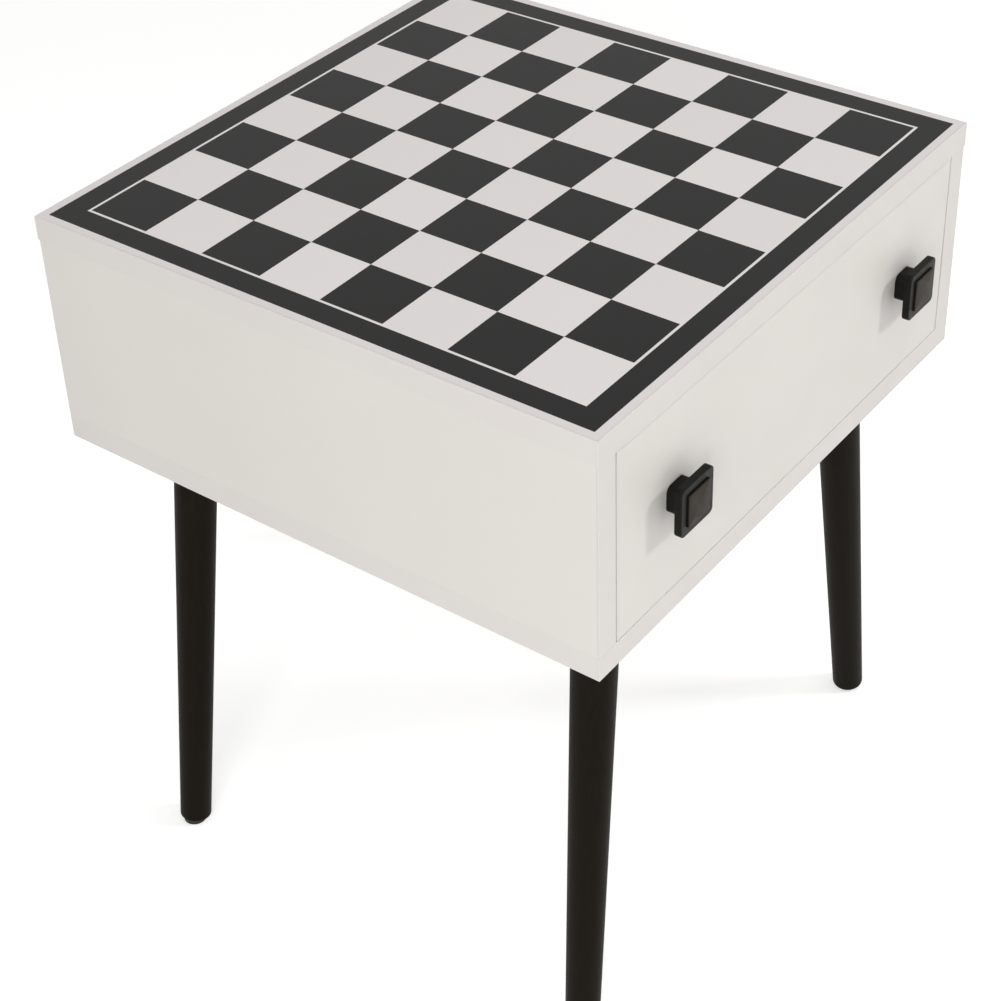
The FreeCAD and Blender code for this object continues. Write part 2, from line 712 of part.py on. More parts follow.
drill(drawer_left, "XY_Plane", "0", [("drawer_side_thick / 2", row) for row in RAIL_SCREW_ROWS],
      "pan_screw + 2 * fit_gap", "drawer_rail_screw_length - rail_sheet + fit_gap", reverse=True)
mirror("drawer_right_side", drawer_left)

drawer_back = board("drawer_back", "-drawer_inner_width / 2",
                    "drawer_back_middle_y - drawer_back_thick / 2",
                    "drawer_z + drawer_back_lift", "drawer_inner_width",
                    "drawer_back_thick", "drawer_side_height - drawer_back_lift")
back_screw_ends = [("drawer_back_thick / 2", row) for row in DRAWER_BACK_ROWS]
back_screw_depth = "drawer_screw_length - drawer_side_thick + fit_gap"
drill(drawer_back, "YZ_Plane", "0", back_screw_ends, "drawer_screw + 2 * fit_gap",
      back_screw_depth, reverse=True)
drill(drawer_back, "YZ_Plane", "drawer_inner_width", back_screw_ends,
      "drawer_screw + 2 * fit_gap", back_screw_depth)
drill(drawer_back, "XY_Plane", "0",
      [(f"{row} - drawer_side_thick", "drawer_back_thick / 2") for row in DRAWER_BOTTOM_ROWS],
      "pan_screw + 2 * fit_gap", "drawer_bottom_screw_length - drawer_bottom_thick",
      reverse=True)

panel_tongue = "(groove_depth - groove_play)"
drawer_bottom = board("drawer_bottom", f"-drawer_inner_width / 2 - {panel_tongue}",
                      f"drawer_y - {panel_tongue}", "drawer_z + groove_lift",
                      f"drawer_inner_width + 2 * {panel_tongue}",
                      f"drawer_side_length + {panel_tongue}", "drawer_bottom_thick")
drill(drawer_bottom, "XY_Plane", "0",
      [(f"{row} - drawer_side_thick + {panel_tongue}",
        f"drawer_side_length + {panel_tongue} - drawer_back_thick / 2")
       for row in DRAWER_BOTTOM_ROWS],
      "pan_screw + 4 * fit_gap", "drawer_bottom_thick", reverse=True)


# ---------------------------------------------------------------- drawer fastenings

drawer_side_lines = [f"{side}(drawer_width - drawer_side_thick) / 2" for side in ("-", "")]
copies("drawer_dowels", stacked("drawer_dowel_pattern", ("drawer_dowel", "0", "dowel_length")),
       [(x, "drawer_y - dowel_split", f"drawer_z + {row}", TO_BACK)
        for x in drawer_side_lines for row in DRAWER_DOWEL_ROWS])
copies("drawer_cam_bolts", cam_bolt_pattern("drawer_cam_bolt_pattern", "drawer_cam_setback"),
       [(x, "drawer_y", f"drawer_z + {DRAWER_CAM_ROW}", TO_FRONT) for x in drawer_side_lines])
copies("drawer_cam_locks",
       cam_pattern("drawer_cam_pattern", "drawer_cam_depth", "drawer_side_thick / 2"),
       [(f"{side}drawer_width / 2", "drawer_y + drawer_cam_setback",
         f"drawer_z + {DRAWER_CAM_ROW}", turn)
        for side, turn in (("-", "0; -90; 180"), ("", "0; 90; 180"))])
drawer_screw = stacked("drawer_screw_pattern",
                       ("drawer_screw_head", "0", "drawer_screw_head_thick"),
                       ("drawer_screw", "drawer_screw_head_thick", "drawer_screw_length"))
copies("drawer_back_screws", drawer_screw,
       [(f"{side}drawer_width / 2", "drawer_back_middle_y",
         f"drawer_z + drawer_back_lift + {row}", turn)
        for side, turn in SIDES for row in DRAWER_BACK_ROWS])
bottom_screw = pan_screw_pattern("drawer_bottom_screw_pattern", "pan_screw", "pan_screw_head",
                                 "drawer_bottom_screw_length")
copies("drawer_bottom_screws", bottom_screw,
       [(f"{row} - drawer_width / 2", "drawer_back_middle_y", "drawer_z + groove_lift", UP)
        for row in DRAWER_BOTTOM_ROWS])


# ---------------------------------------------------------------- roller runners

# Each rail's own frame: X from the cabinet side towards the drawer, Y to the back, Z up.
cabinet_rail = new_body("left_cabinet_rail", "-inner_width / 2", "rail_y", "runner_z")
channel = new_sketch(cabinet_rail, "XZ_Plane", "-rail_length")
outline(channel, [
    ("0", "0"), ("rail_flange", "0"), ("rail_flange", "rail_sheet"),
    ("rail_sheet", "rail_sheet"), ("rail_sheet", "rail_height - rail_sheet"),
    ("rail_flange", "rail_height - rail_sheet"), ("rail_flange", "rail_height"),
    ("0", "rail_height")])
pad(cabinet_rail, channel, "rail_length")
# the front of the upper flange is left open, so the drawer's rollers can be dropped in
mouth = new_sketch(cabinet_rail, "XY_Plane", "rail_height")
rectangle(mouth, "rail_sheet", "0", "rail_flange", "rear_roller + 2 * roller_clearance")
pocket(cabinet_rail, mouth, "rail_sheet")
drill(cabinet_rail, "YZ_Plane", "rail_sheet",
      [(row, "rail_height / 2") for row in RAIL_SCREW_ROWS],
      "pan_screw + 4 * fit_gap", "rail_sheet")
drill(cabinet_rail, "YZ_Plane", "rail_sheet", [("roller_inset", "front_roller_z")],
      "roller_axle + 4 * fit_gap", "rail_sheet")
mirror("right_cabinet_rail", cabinet_rail)

web = "runner_gap - rail_sheet"
shelf = "runner_gap + shelf_width"
drawer_rail = new_body("left_drawer_rail", "-inner_width / 2", "drawer_y", "runner_z")
angle = new_sketch(drawer_rail, "XZ_Plane", "-rail_length")
outline(angle, [
    (web, "drawer_rail_drop - rail_sheet"), (shelf, "drawer_rail_drop - rail_sheet"),
    (shelf, "drawer_rail_drop"), ("runner_gap", "drawer_rail_drop"),
    ("runner_gap", "track_height + rail_sheet"), (web, "track_height + rail_sheet")])
pad(drawer_rail, angle, "rail_length")
track = new_sketch(drawer_rail, "XZ_Plane", "-track_length")
rectangle(track, f"{web} - track_reach", "track_height", "track_reach", "rail_sheet")
pad(drawer_rail, track, "track_length")
drill(drawer_rail, "XY_Plane", "drawer_rail_drop",
      [("runner_gap + drawer_side_thick / 2", row) for row in RAIL_SCREW_ROWS],
      "pan_screw + 4 * fit_gap", "rail_sheet")
drill(drawer_rail, "YZ_Plane", "runner_gap", [("rail_length - roller_inset", "rear_roller_z")],
      "roller_axle + 4 * fit_gap", "rail_sheet")
mirror("right_drawer_rail", drawer_rail)


def roller(label, y, z, diameter):
    """A plain roller; its bore turns on the rivet with axle_clearance all round."""
    body = new_body(label, "roller_x - inner_width / 2", y, z)
    disc = new_sketch(body, "YZ_Plane")
    facets(disc, "0", "0", diameter, ROLLER_SIDES)
    circle(disc, "0", "0", "roller_axle + 2 * axle_clearance")
    pad(body, disc, "roller_width")
    return body


mirror("right_front_roller", roller("left_front_roller", "rail_y + roller_inset",
                                    "runner_z + front_roller_z", "front_roller"))
mirror("right_rear_roller", roller("left_rear_roller", "drawer_y + rail_length - roller_inset",
                                   "runner_z + rear_roller_z", "rear_roller"))


def rivet_pattern(name, reach):
    """A roller's rivet: its round axle stands on Z = 0 and its flat head starts at reach."""
    pattern = new_pattern(name)
    axle = new_sketch(pattern, "XY_Plane")
    circle(axle, "0", "0", "roller_axle")
    pad(pattern, axle, reach)
    head = new_sketch(pattern, "XY_Plane", reach)
    facets(head, "0", "0", "rivet_head", CAM_SIDES)
    pad(pattern, head, "rivet_head_thick")
    return pattern


front_rivet = rivet_pattern("front_rivet_pattern", "roller_x + roller_width + rivet_gap")
copies("front_roller_rivets", front_rivet,
       [(f"{side}inner_width / 2", "rail_y + roller_inset", "runner_z + front_roller_z", turn)
        for side, turn in SIDES])
rear_rivet = rivet_pattern("rear_rivet_pattern", "runner_gap - roller_x + rivet_gap")
copies("rear_roller_rivets", rear_rivet,
       [("runner_gap - inner_width / 2", "drawer_y + rail_length - roller_inset",
         "runner_z + rear_roller_z", TO_LEFT),
        ("inner_width / 2 - runner_gap", "drawer_y + rail_length - roller_inset",
         "runner_z + rear_roller_z", TO_RIGHT)])

rail_screw = pan_screw_pattern("rail_screw_pattern", "pan_screw", "pan_screw_head",
                               "rail_screw_length")
copies("rail_screws", rail_screw,
       [(f"{side}(inner_width / 2 - rail_sheet)", f"rail_y + {row}",
         "runner_z + rail_height / 2", turn)
        for side, turn in (("-", TO_LEFT), ("", TO_RIGHT)) for row in RAIL_SCREW_ROWS])
drawer_rail_screw = pan_screw_pattern("drawer_rail_screw_pattern", "pan_screw", "pan_screw_head",
                                      "drawer_rail_screw_length")
copies("drawer_rail_screws", drawer_rail_screw,
       [(x, f"drawer_y + {row}", "runner_z + drawer_rail_drop - rail_sheet", UP)
        for x in drawer_side_lines for row in RAIL_SCREW_ROWS])


# ---------------------------------------------------------------- knobs

knob = new_body("left_knob", "-knob_spacing / 2", "front_y", "knob_z")
plate_face = "knob_stem_length + knob_plate_thick"
for width, start, length in (("knob_stem", "0", "knob_stem_length"),
                             ("knob_plate", "knob_stem_length", "knob_plate_thick"),
                             ("knob_pad", plate_face, "knob_pad_height")):
    step = new_sketch(knob, "XZ_Plane", start)
    centred_square(step, width)
    pad(knob, step, length)


def straight_out(edge):
    """An edge that runs straight out from the drawer front."""
    box = edge.BoundBox
    return box.YLength > 0.1 and box.XLength < 0.01 and box.ZLength < 0.01


def stem_corner_edge(edge):
    """A corner edge of the knob's stem."""
    return straight_out(edge) and edge.BoundBox.YMax > -0.01


def plate_corner_edge(edge):
    """A corner edge of the knob's plate."""
    return straight_out(edge) and abs(edge.BoundBox.YMax + value("knob_stem_length")) < 0.01


def pad_corner_edge(edge):
    """A corner edge of the raised pad."""
    return straight_out(edge) and edge.BoundBox.YMin < 0.01 - value("knob_reach")


def plate_front_rim(edge):
    """An edge round the front face of the knob's plate."""
    box = edge.BoundBox
    front = value("knob_stem_length") + value("knob_plate_thick")
    far = max(abs(box.XMin), abs(box.XMax), abs(box.ZMin), abs(box.ZMax))
    return abs(box.YMin + front) < 0.01 and box.YLength < 0.01 and far > value("knob_plate") / 2 - 0.01


dress(knob, "Chamfer", "Size", "knob_stem_bevel", stem_corner_edge)
dress(knob, "Chamfer", "Size", "knob_pad_bevel", pad_corner_edge)
dress(knob, "Fillet", "Radius", "knob_corner", plate_corner_edge)
dress(knob, "Chamfer", "Size", "knob_bevel", plate_front_rim)
drill(knob, "XZ_Plane", "0", [("0", "0")], "knob_screw + 2 * fit_gap",
      "knob_screw_grip + fit_gap", reverse=True)
mirror("right_knob", knob)

knob_screw = pan_screw_pattern("knob_screw_pattern", "knob_screw", "knob_screw_head",
                               "front_thick + knob_screw_grip")
copies("knob_screws", knob_screw,
       [(f"{side}knob_spacing / 2", "drawer_y", "knob_z", TO_FRONT) for side in ("-", "")])


# ---------------------------------------------------------------- legs

# Each leg's own frame sits on the underside of the cabinet; its -Z runs down the leg.
for name, x, y, heading in LEG_CORNERS:
    leg = new_body("leg_" + name, x, y, "cabinet_under_z", f"{heading}; -leg_splay; 0")
    turned(leg, LEG_SIDES, ("leg_foot - 2 * leg_foot_bevel", "glide_thick - leg_reach"),
           ("leg_foot", "glide_thick - leg_reach + leg_foot_bevel"),
           ("leg_top", "-seat_drop"))
    drill(leg, "XY_Plane", "-seat_drop", [("0", "0")], "leg_bolt + 2 * fit_gap",
          "leg_bolt_length + leg_bolt_gap - seat_drop + fit_gap")
    drill(leg, "XY_Plane", "glide_thick - leg_reach", [("0", "0")], "glide_pin + 2 * fit_gap",
          "glide_pin_length + fit_gap", reverse=True)

plate = new_pattern("leg_plate_pattern")
flat = new_sketch(plate, "XY_Plane")
near = "plate_width / 2 - plate_corner"
outline(flat, [("plate_width / 2", f"-({near})"), ("plate_width / 2", near),
               (near, "plate_width / 2"), (f"-({near})", "plate_width / 2"),
               ("-plate_width / 2", near), ("-plate_width / 2", f"-({near})"),
               (f"-({near})", "-plate_width / 2"), (near, "-plate_width / 2")])
pad(plate, flat, "plate_thick", reverse=True)
for length, downwards in (("seat_drop", True), ("seat_width / 4", False)):
    seat = new_sketch(plate, "XY_Plane", tilt="-leg_splay")
    facets(seat, "0", "0", "seat_width", GLIDE_SIDES)
    pad(plate, seat, length, downwards)
above = new_sketch(plate, "XY_Plane")
centred_square(above, "plate_width")
pocket(plate, above, "seat_width", reverse=True)
bore = new_sketch(plate, "XY_Plane", tilt="-leg_splay")
facets(bore, "0", "0", "leg_bolt + 2 * fit_gap", SCREW_SIDES)
pocket(plate, bore, "4 * seat_drop", both_ways=True)
plate_corners = [(f"{a} * plate_holes / 2", f"{b} * plate_holes / 2")
                 for a in (-1, 1) for b in (-1, 1)]
drill(plate, "XY_Plane", "0", plate_corners, "pan_screw + 6 * fit_gap", "plate_thick")
copies("leg_plates", plate, [(x, y, "cabinet_under_z", f"{heading}; 0; 0")
                             for _, x, y, heading in LEG_CORNERS])

leg_places = [(x, y, "cabinet_under_z", f"{heading}; -leg_splay; 0")
              for _, x, y, heading in LEG_CORNERS]
hanger_bolt = stacked("hanger_bolt_pattern",
                      ("leg_bolt", "-leg_bolt_gap - leg_bolt_length", "-leg_bolt_gap"))
copies("leg_bolts", hanger_bolt, leg_places)

plate_screw = pan_screw_pattern("plate_screw_pattern", "pan_screw", "pan_screw_head",
                                "plate_screw_length")
copies("plate_screws", plate_screw,
       [(x, y, "cabinet_under_z - plate_thick", UP) for x, y in plate_screw_spots()])

# a nylon glide whose sole is cut level with the floor
glide = new_pattern("leg_glide_pattern")
disc = new_sketch(glide, "XY_Plane", "-leg_reach - glide_thick")
facets(disc, "0", "0", "glide_width", GLIDE_SIDES)
pad(glide, disc, "2 * glide_thick")
pin = new_sketch(glide, "XY_Plane", "glide_thick - leg_reach")
facets(pin, "0", "0", "glide_pin", SCREW_SIDES)
pad(glide, pin, "glide_pin_length")
sole = new_sketch(glide, "XY_Plane", "-leg_reach", tilt="leg_splay")
centred_square(sole, "2 * glide_width")
pocket(glide, sole, "4 * glide_thick")
copies("leg_glides", glide, leg_places)


# ---------------------------------------------------------------- check and write

doc.recompute()
for item in doc.Objects:
    if "Invalid" in item.State or "Error" in item.State:
        raise RuntimeError(f"{item.Label} could not be worked out: {item.State}")
os.makedirs("parts", exist_ok=True)
for item in sub_parts:
    if item.Shape.isNull() or not item.Shape.isValid():
        raise RuntimeError(f"{item.Label} has no valid shape")
    item.Shape.exportStep(f"parts/{item.Label}.step")
print(f"{len(sub_parts)} sub-parts written")
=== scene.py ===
"""The chess table with an inlaid board, dressed piece by piece in the order it is put together.

Metres, +Z up, the floor at Z = 0, the drawer facing -Y.
"""
import bpy
import math
import numpy as np
from mathutils import Matrix, Vector


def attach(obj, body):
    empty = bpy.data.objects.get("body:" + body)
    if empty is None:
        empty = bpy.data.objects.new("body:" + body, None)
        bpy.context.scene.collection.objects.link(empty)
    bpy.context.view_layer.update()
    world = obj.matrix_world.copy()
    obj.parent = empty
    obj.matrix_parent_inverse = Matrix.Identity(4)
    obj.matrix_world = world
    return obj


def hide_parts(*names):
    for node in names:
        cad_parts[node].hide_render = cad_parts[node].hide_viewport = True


bpy.ops.wm.read_factory_settings(use_empty=True)
scene = bpy.context.scene
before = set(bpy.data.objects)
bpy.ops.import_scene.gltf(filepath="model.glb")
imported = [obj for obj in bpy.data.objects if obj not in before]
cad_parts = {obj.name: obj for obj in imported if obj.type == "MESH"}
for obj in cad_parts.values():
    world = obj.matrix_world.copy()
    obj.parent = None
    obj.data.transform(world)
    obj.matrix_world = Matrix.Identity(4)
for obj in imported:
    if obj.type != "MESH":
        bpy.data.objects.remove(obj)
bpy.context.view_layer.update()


# ---------------------------------------------------------------- the studio
# A pale floor under even, soft light.  The camera stands at the table's left front corner,
# a little over a metre and a half away, and looks down on the board.

camera_place = (-1.02182, -0.76778, 1.24774)
camera_right = (0.59772, -0.80099, -0.03394)
camera_up = (0.46563, 0.31238, 0.82801)
camera_back = (-0.65263, -0.51072, 0.55968)
lens, sight = 77.2, 60
frame_shift = (0.0079, -0.1375)

camera = bpy.data.objects.new("camera", bpy.data.cameras.new("camera"))
scene.collection.objects.link(camera)
camera.data.lens = lens
camera.data.shift_x, camera.data.shift_y = frame_shift
camera.data.clip_end = sight
axes = Matrix((camera_right, camera_up, camera_back)).transposed().to_4x4()
camera.matrix_world = Matrix.Translation(camera_place) @ axes
scene.camera = camera
scene.view_settings.view_transform = "Standard"


def seen_by_camera(tree):
    """1 for rays from the camera and for mirrored or refracted ones, else 0."""
    path = tree.nodes.new("ShaderNodeLightPath")
    seen = path.outputs["Is Camera Ray"]
    for kind in ("Is Glossy Ray", "Is Transmission Ray"):
        larger = tree.nodes.new("ShaderNodeMath")
        larger.operation = "MAXIMUM"
        tree.links.new(seen, larger.inputs[0])
        tree.links.new(path.outputs[kind], larger.inputs[1])
        seen = larger.outputs[0]
    return seen


world = bpy.data.worlds.new("studio")
scene.world = world
world.use_nodes = True
sky = world.node_tree.nodes["Background"]
sky_light, sky_tint = 0.35, (1.0, 0.995, 0.985)
sky.inputs["Color"].default_value = (*sky_tint, 1)
level = world.node_tree.nodes.new("ShaderNodeMapRange")
level.inputs["To Min"].default_value = sky_light
level.inputs["To Max"].default_value = 1.0
world.node_tree.links.new(seen_by_camera(world.node_tree), level.inputs["Value"])
world.node_tree.links.new(level.outputs["Result"], sky.inputs["Strength"])

# The floor is lifted towards white for the camera, and more with its distance from the table.
floor_reach, floor_grey = 12.0, 0.86
near, near_lift = 1.2, 0.46
far, far_lift = 4.5, 0.76
corners = [(-floor_reach, -floor_reach, 0), (floor_reach, -floor_reach, 0),
           (floor_reach, floor_reach, 0), (-floor_reach, floor_reach, 0)]
floor_mesh = bpy.data.meshes.new("floor")
floor_mesh.from_pydata(corners, [], [(0, 1, 2, 3)])
floor = bpy.data.objects.new("floor", floor_mesh)
scene.collection.objects.link(floor)
floor_paint = bpy.data.materials.new("floor_paint")
floor_paint.use_nodes = True
tree = floor_paint.node_tree
tree.nodes.clear()
matt = tree.nodes.new("ShaderNodeBsdfDiffuse")
matt.inputs["Color"].default_value = (floor_grey, floor_grey, floor_grey, 1)
glow = tree.nodes.new("ShaderNodeEmission")
both = tree.nodes.new("ShaderNodeAddShader")
ending = tree.nodes.new("ShaderNodeOutputMaterial")
spot = tree.nodes.new("ShaderNodeTexCoord")
away = tree.nodes.new("ShaderNodeVectorMath")
away.operation = "LENGTH"
tree.links.new(spot.outputs["Object"], away.inputs[0])
paler = tree.nodes.new("ShaderNodeMapRange")
paler.interpolation_type = "SMOOTHSTEP"
paler.inputs["From Min"].default_value = near
paler.inputs["From Max"].default_value = far
paler.inputs["To Min"].default_value = near_lift
paler.inputs["To Max"].default_value = far_lift
tree.links.new(away.outputs["Value"], paler.inputs["Value"])
lift = tree.nodes.new("ShaderNodeMath")
lift.operation = "MULTIPLY"
tree.links.new(seen_by_camera(tree), lift.inputs[0])
tree.links.new(paler.outputs["Result"], lift.inputs[1])
tree.links.new(lift.outputs[0], glow.inputs["Strength"])
tree.links.new(matt.outputs[0], both.inputs[0])
tree.links.new(glow.outputs[0], both.inputs[1])
tree.links.new(both.outputs[0], ending.inputs["Surface"])
floor_mesh.materials.append(floor_paint)

# Four soft lamps: name, place, what it points at, width, power, whether it shows in gloss.
lamps = (
    ("key_lamp", (1.5, -2.1, 1.7), (0, 0, 0.45), 0.45, 20.5, False),
    ("edge_lamp", (2.6, -0.9, 1.3), (0, 0, 0.30), 1.6, 4, True),
    ("side_lamp", (-2.2, -1.2, 1.3), (0, -0.1, 0.45), 1.4, 35.5, True),
    ("top_lamp", (0, -0.3, 2.9), (0, 0, 0.50), 1.8, 18.9, True),
)
for name, place, target, width, power, glossy in lamps:
    light = bpy.data.lights.new(name, "AREA")
    light.shape = "SQUARE"
    light.size = width
    light.energy = power
    lamp = bpy.data.objects.new(name, light)
    scene.collection.objects.link(lamp)
    lamp.location = place
    lamp.rotation_euler = (Vector(target) - Vector(place)).to_track_quat("-Z", "Y").to_euler()
    lamp.visible_glossy = glossy


# ---------------------------------------------------------------- the top
# A particle board panel faced in satin white, with thin white bands glued round its edges.
# The middle of its upper face is recessed for the inlaid board.

def finish(name, colour, roughness, specular=0.5, metallic=0.0):
    """A material of one shader, with its node tree, ready for its pattern."""
    material = bpy.data.materials.new(name)
    material.use_nodes = True
    shader = material.node_tree.nodes["Principled BSDF"]
    shader.inputs["Base Color"].default_value = (*colour, 1)
    shader.inputs["Roughness"].default_value = roughness
    shader.inputs["Specular IOR Level"].default_value = specular
    shader.inputs["Metallic"].default_value = metallic
    return material, material.node_tree, shader


def place_on_object(tree, stretch=(1, 1, 1)):
    """The point on the piece, with each axis drawn out by its own factor."""
    where = tree.nodes.new("ShaderNodeTexCoord")
    mapping = tree.nodes.new("ShaderNodeMapping")
    mapping.inputs["Scale"].default_value = stretch
    tree.links.new(where.outputs["Object"], mapping.inputs["Vector"])
    return mapping.outputs["Vector"]


def clouds(tree, where, scale, detail=2.0):
    """Soft noise from 0 to 1; scale is in clouds per metre."""
    noise = tree.nodes.new("ShaderNodeTexNoise")
    noise.inputs["Scale"].default_value = scale
    noise.inputs["Detail"].default_value = detail
    tree.links.new(where, noise.inputs["Vector"])
    return noise.outputs["Fac"]


# Nearly all of a noise's values lie between these two.
noise_low, noise_high = 0.3, 0.7


def spread(tree, value, low, high):
    """A noise laid out between low and high."""
    node = tree.nodes.new("ShaderNodeMapRange")
    node.inputs["From Min"].default_value = noise_low
    node.inputs["From Max"].default_value = noise_high
    node.inputs["To Min"].default_value = low
    node.inputs["To Max"].default_value = high
    tree.links.new(value, node.inputs["Value"])
    return node.outputs["Result"]


def two_tones(tree, value, first, second):
    """A noise painted from the first colour to the second."""
    ramp = tree.nodes.new("ShaderNodeValToRGB")
    ramp.color_ramp.elements[0].position = noise_low
    ramp.color_ramp.elements[0].color = (*first, 1)
    ramp.color_ramp.elements[1].position = noise_high
    ramp.color_ramp.elements[1].color = (*second, 1)
    tree.links.new(value, ramp.inputs["Fac"])
    return ramp.outputs["Color"]


def relief(tree, shader, height, depth):
    """Fine unevenness of the surface, depth in metres from lowest to highest."""
    bump = tree.nodes.new("ShaderNodeBump")
    bump.inputs["Strength"].default_value = 1.0
    bump.inputs["Distance"].default_value = depth
    tree.links.new(height, bump.inputs["Height"])
    tree.links.new(bump.outputs["Normal"], shader.inputs["Normal"])


def satin_board(name, light_tone, dark_tone, peel=0.00003):
    """Satin facing: two close tones in wide clouds, uneven sheen, and a roller's faint peel."""
    material, tree, shader = finish(name, light_tone, roughness=0.42, specular=0.35)
    where = place_on_object(tree)
    tone = two_tones(tree, clouds(tree, where, scale=9, detail=3), dark_tone, light_tone)
    tree.links.new(tone, shader.inputs["Base Color"])
    sheen = spread(tree, clouds(tree, where, scale=40, detail=2), low=0.38, high=0.48)
    tree.links.new(sheen, shader.inputs["Roughness"])
    relief(tree, shader, clouds(tree, where, scale=900, detail=1), depth=peel)
    return material


def dress(node, material):
    """Give a carried-over piece its finish."""
    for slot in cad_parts[node].material_slots:
        slot.material = material


def mesh_piece(name, points, faces, crease=40):
    """A piece from arrays of points and faces, smooth except at edges sharper than crease.

    Its large faces outweigh the narrow ones beside them, so that flats stay flat.
    """
    mesh = bpy.data.meshes.new(name)
    mesh.from_pydata(points.tolist(), [], faces)
    mesh.polygons.foreach_set("use_smooth", np.ones(len(mesh.polygons), bool))
    mesh.set_sharp_from_angle(angle=math.radians(crease))
    mesh.update()
    piece = bpy.data.objects.new(name, mesh)
    scene.collection.objects.link(piece)
    evening = piece.modifiers.new("even_shading", "WEIGHTED_NORMAL")
    evening.keep_sharp = True
    evening.weight = 100
    return piece


def closed_rows(rows):
    """Rows of points, each a loop, joined in order, with a fan over the first and the last.

    Point (c, i, j) is copy c, row i, place j; a face joins rows i, i + 1 and places j, j + 1.
    """
    copies, count, around = rows.shape[:3]
    middle = np.stack((rows[:, 0].mean(1), rows[:, -1].mean(1)), 1)
    points = np.concatenate((rows.reshape(copies, -1, 3), middle), 1)
    i, j = np.mgrid[0:count - 1, 0:around]
    after = (j + 1) % around
    sides = np.stack((i * around + j, i * around + after, (i + 1) * around + after,
                      (i + 1) * around + j), -1).reshape(-1, 4)
    place = np.arange(around)
    ahead = (place + 1) % around
    first = np.stack((np.full(around, count * around), ahead, place), -1)
    final = (count - 1) * around
    last = np.stack((np.full(around, count * around + 1), final + place, final + ahead), -1)
    offset = np.arange(copies)[:, None, None] * points.shape[1]
    quads = (sides + offset).reshape(-1, 4)
    fans = (np.vstack((first, last)) + offset).reshape(-1, 3)
    return points.reshape(-1, 3), quads.tolist() + fans.tolist()


def rounded_loop(half_x, half_y, corner, steps):
    """A loop round a rectangle: quarter circles of radius corner about its inset corners."""
    turn = np.linspace(0, math.pi / 2, steps)
    quarter = np.arange(4)[:, None] * math.pi / 2
    side_x = np.array((1, -1, -1, 1))[:, None] * (half_x - corner)
    side_y = np.array((1, 1, -1, -1))[:, None] * (half_y - corner)
    x = side_x + corner * np.cos(quarter + turn)
    y = side_y + corner * np.sin(quarter + turn)
    return np.stack((x.ravel(), y.ravel()), -1)


def eased_bands(name, boxes, ease=0.0003, steps=4, least_corner=1e-6):
    """Bands with every edge eased: each box's edges are quarter circles of radius ease.

    At a rise of angle v the loop is drawn in by ease (1 - cos v) and stands ease sin v beyond
    the flat part, below it for v < 0 and above it for v > 0.
    """
    rises = np.concatenate((np.linspace(-math.pi / 2, 0, steps),
                            np.linspace(0, math.pi / 2, steps)))
    copies = []
    for low, high in boxes:
        low, high = np.array(low), np.array(high)
        half, middle = (high - low) / 2, (high + low) / 2
        rows = []
        for k, rise in enumerate(rises):
            inward = ease * (1 - math.cos(rise))
            loop = rounded_loop(half[0] - inward, half[1] - inward,
                                max(ease * math.cos(rise), least_corner), steps)
            flat = half[2] - ease if k >= steps else ease - half[2]
            level = np.full(len(loop), flat + ease * math.sin(rise))
            rows.append(np.column_stack((loop, level)) + middle)
        copies.append(rows)
    return mesh_piece(name, *closed_rows(np.array(copies)), crease=75)


board_white = satin_board("board_white", (0.728, 0.706, 0.664), (0.712, 0.688, 0.650))
band_white = satin_board("band_white", (0.716, 0.684, 0.655), (0.702, 0.667, 0.640),
                         peel=0.00002)
top_white = satin_board("top_white", (0.728, 0.689, 0.690), (0.712, 0.673, 0.675))
dress("top_panel", top_white)

top_half, top_front, top_back = 0.227, -0.21825, 0.23575
top_under, top_face, band = 0.522, 0.540, 0.001
top_bands = eased_bands("eased_top_bands", (
    ((-top_half, top_front, top_under), (top_half, top_front + band, top_face)),
    ((-top_half, top_back - band, top_under), (top_half, top_back, top_face)),
    ((-top_half, top_front + band, top_under), (band - top_half, top_back - band, top_face)),
    ((top_half - band, top_front + band, top_under), (top_half, top_back - band, top_face))))
top_bands.data.materials.append(band_white)
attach(top_bands, "cabinet")
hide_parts("top_edging")


# ---------------------------------------------------------------- the inlaid board
# Eight by eight squares of dyed veneer, black and white in turn, set flush in the recess.
# A thin white line and a wide black border, both mitred, frame them.

square = 0.050
field_left, field_front = -0.200, -0.19125
grain_share = 0.55


def shade_of_square(tree):
    """A chance number from 0 to 1, the same all over one square of the field."""
    where = place_on_object(tree, stretch=(1 / square, 1 / square, 0))
    where.node.inputs["Location"].default_value = (-field_left / square,
                                                   -field_front / square, 0)
    cell = tree.nodes.new("ShaderNodeVectorMath")
    cell.operation = "FLOOR"
    tree.links.new(where, cell.inputs[0])
    chance = tree.nodes.new("ShaderNodeTexWhiteNoise")
    tree.links.new(cell.outputs[0], chance.inputs["Vector"])
    return chance.outputs["Value"]


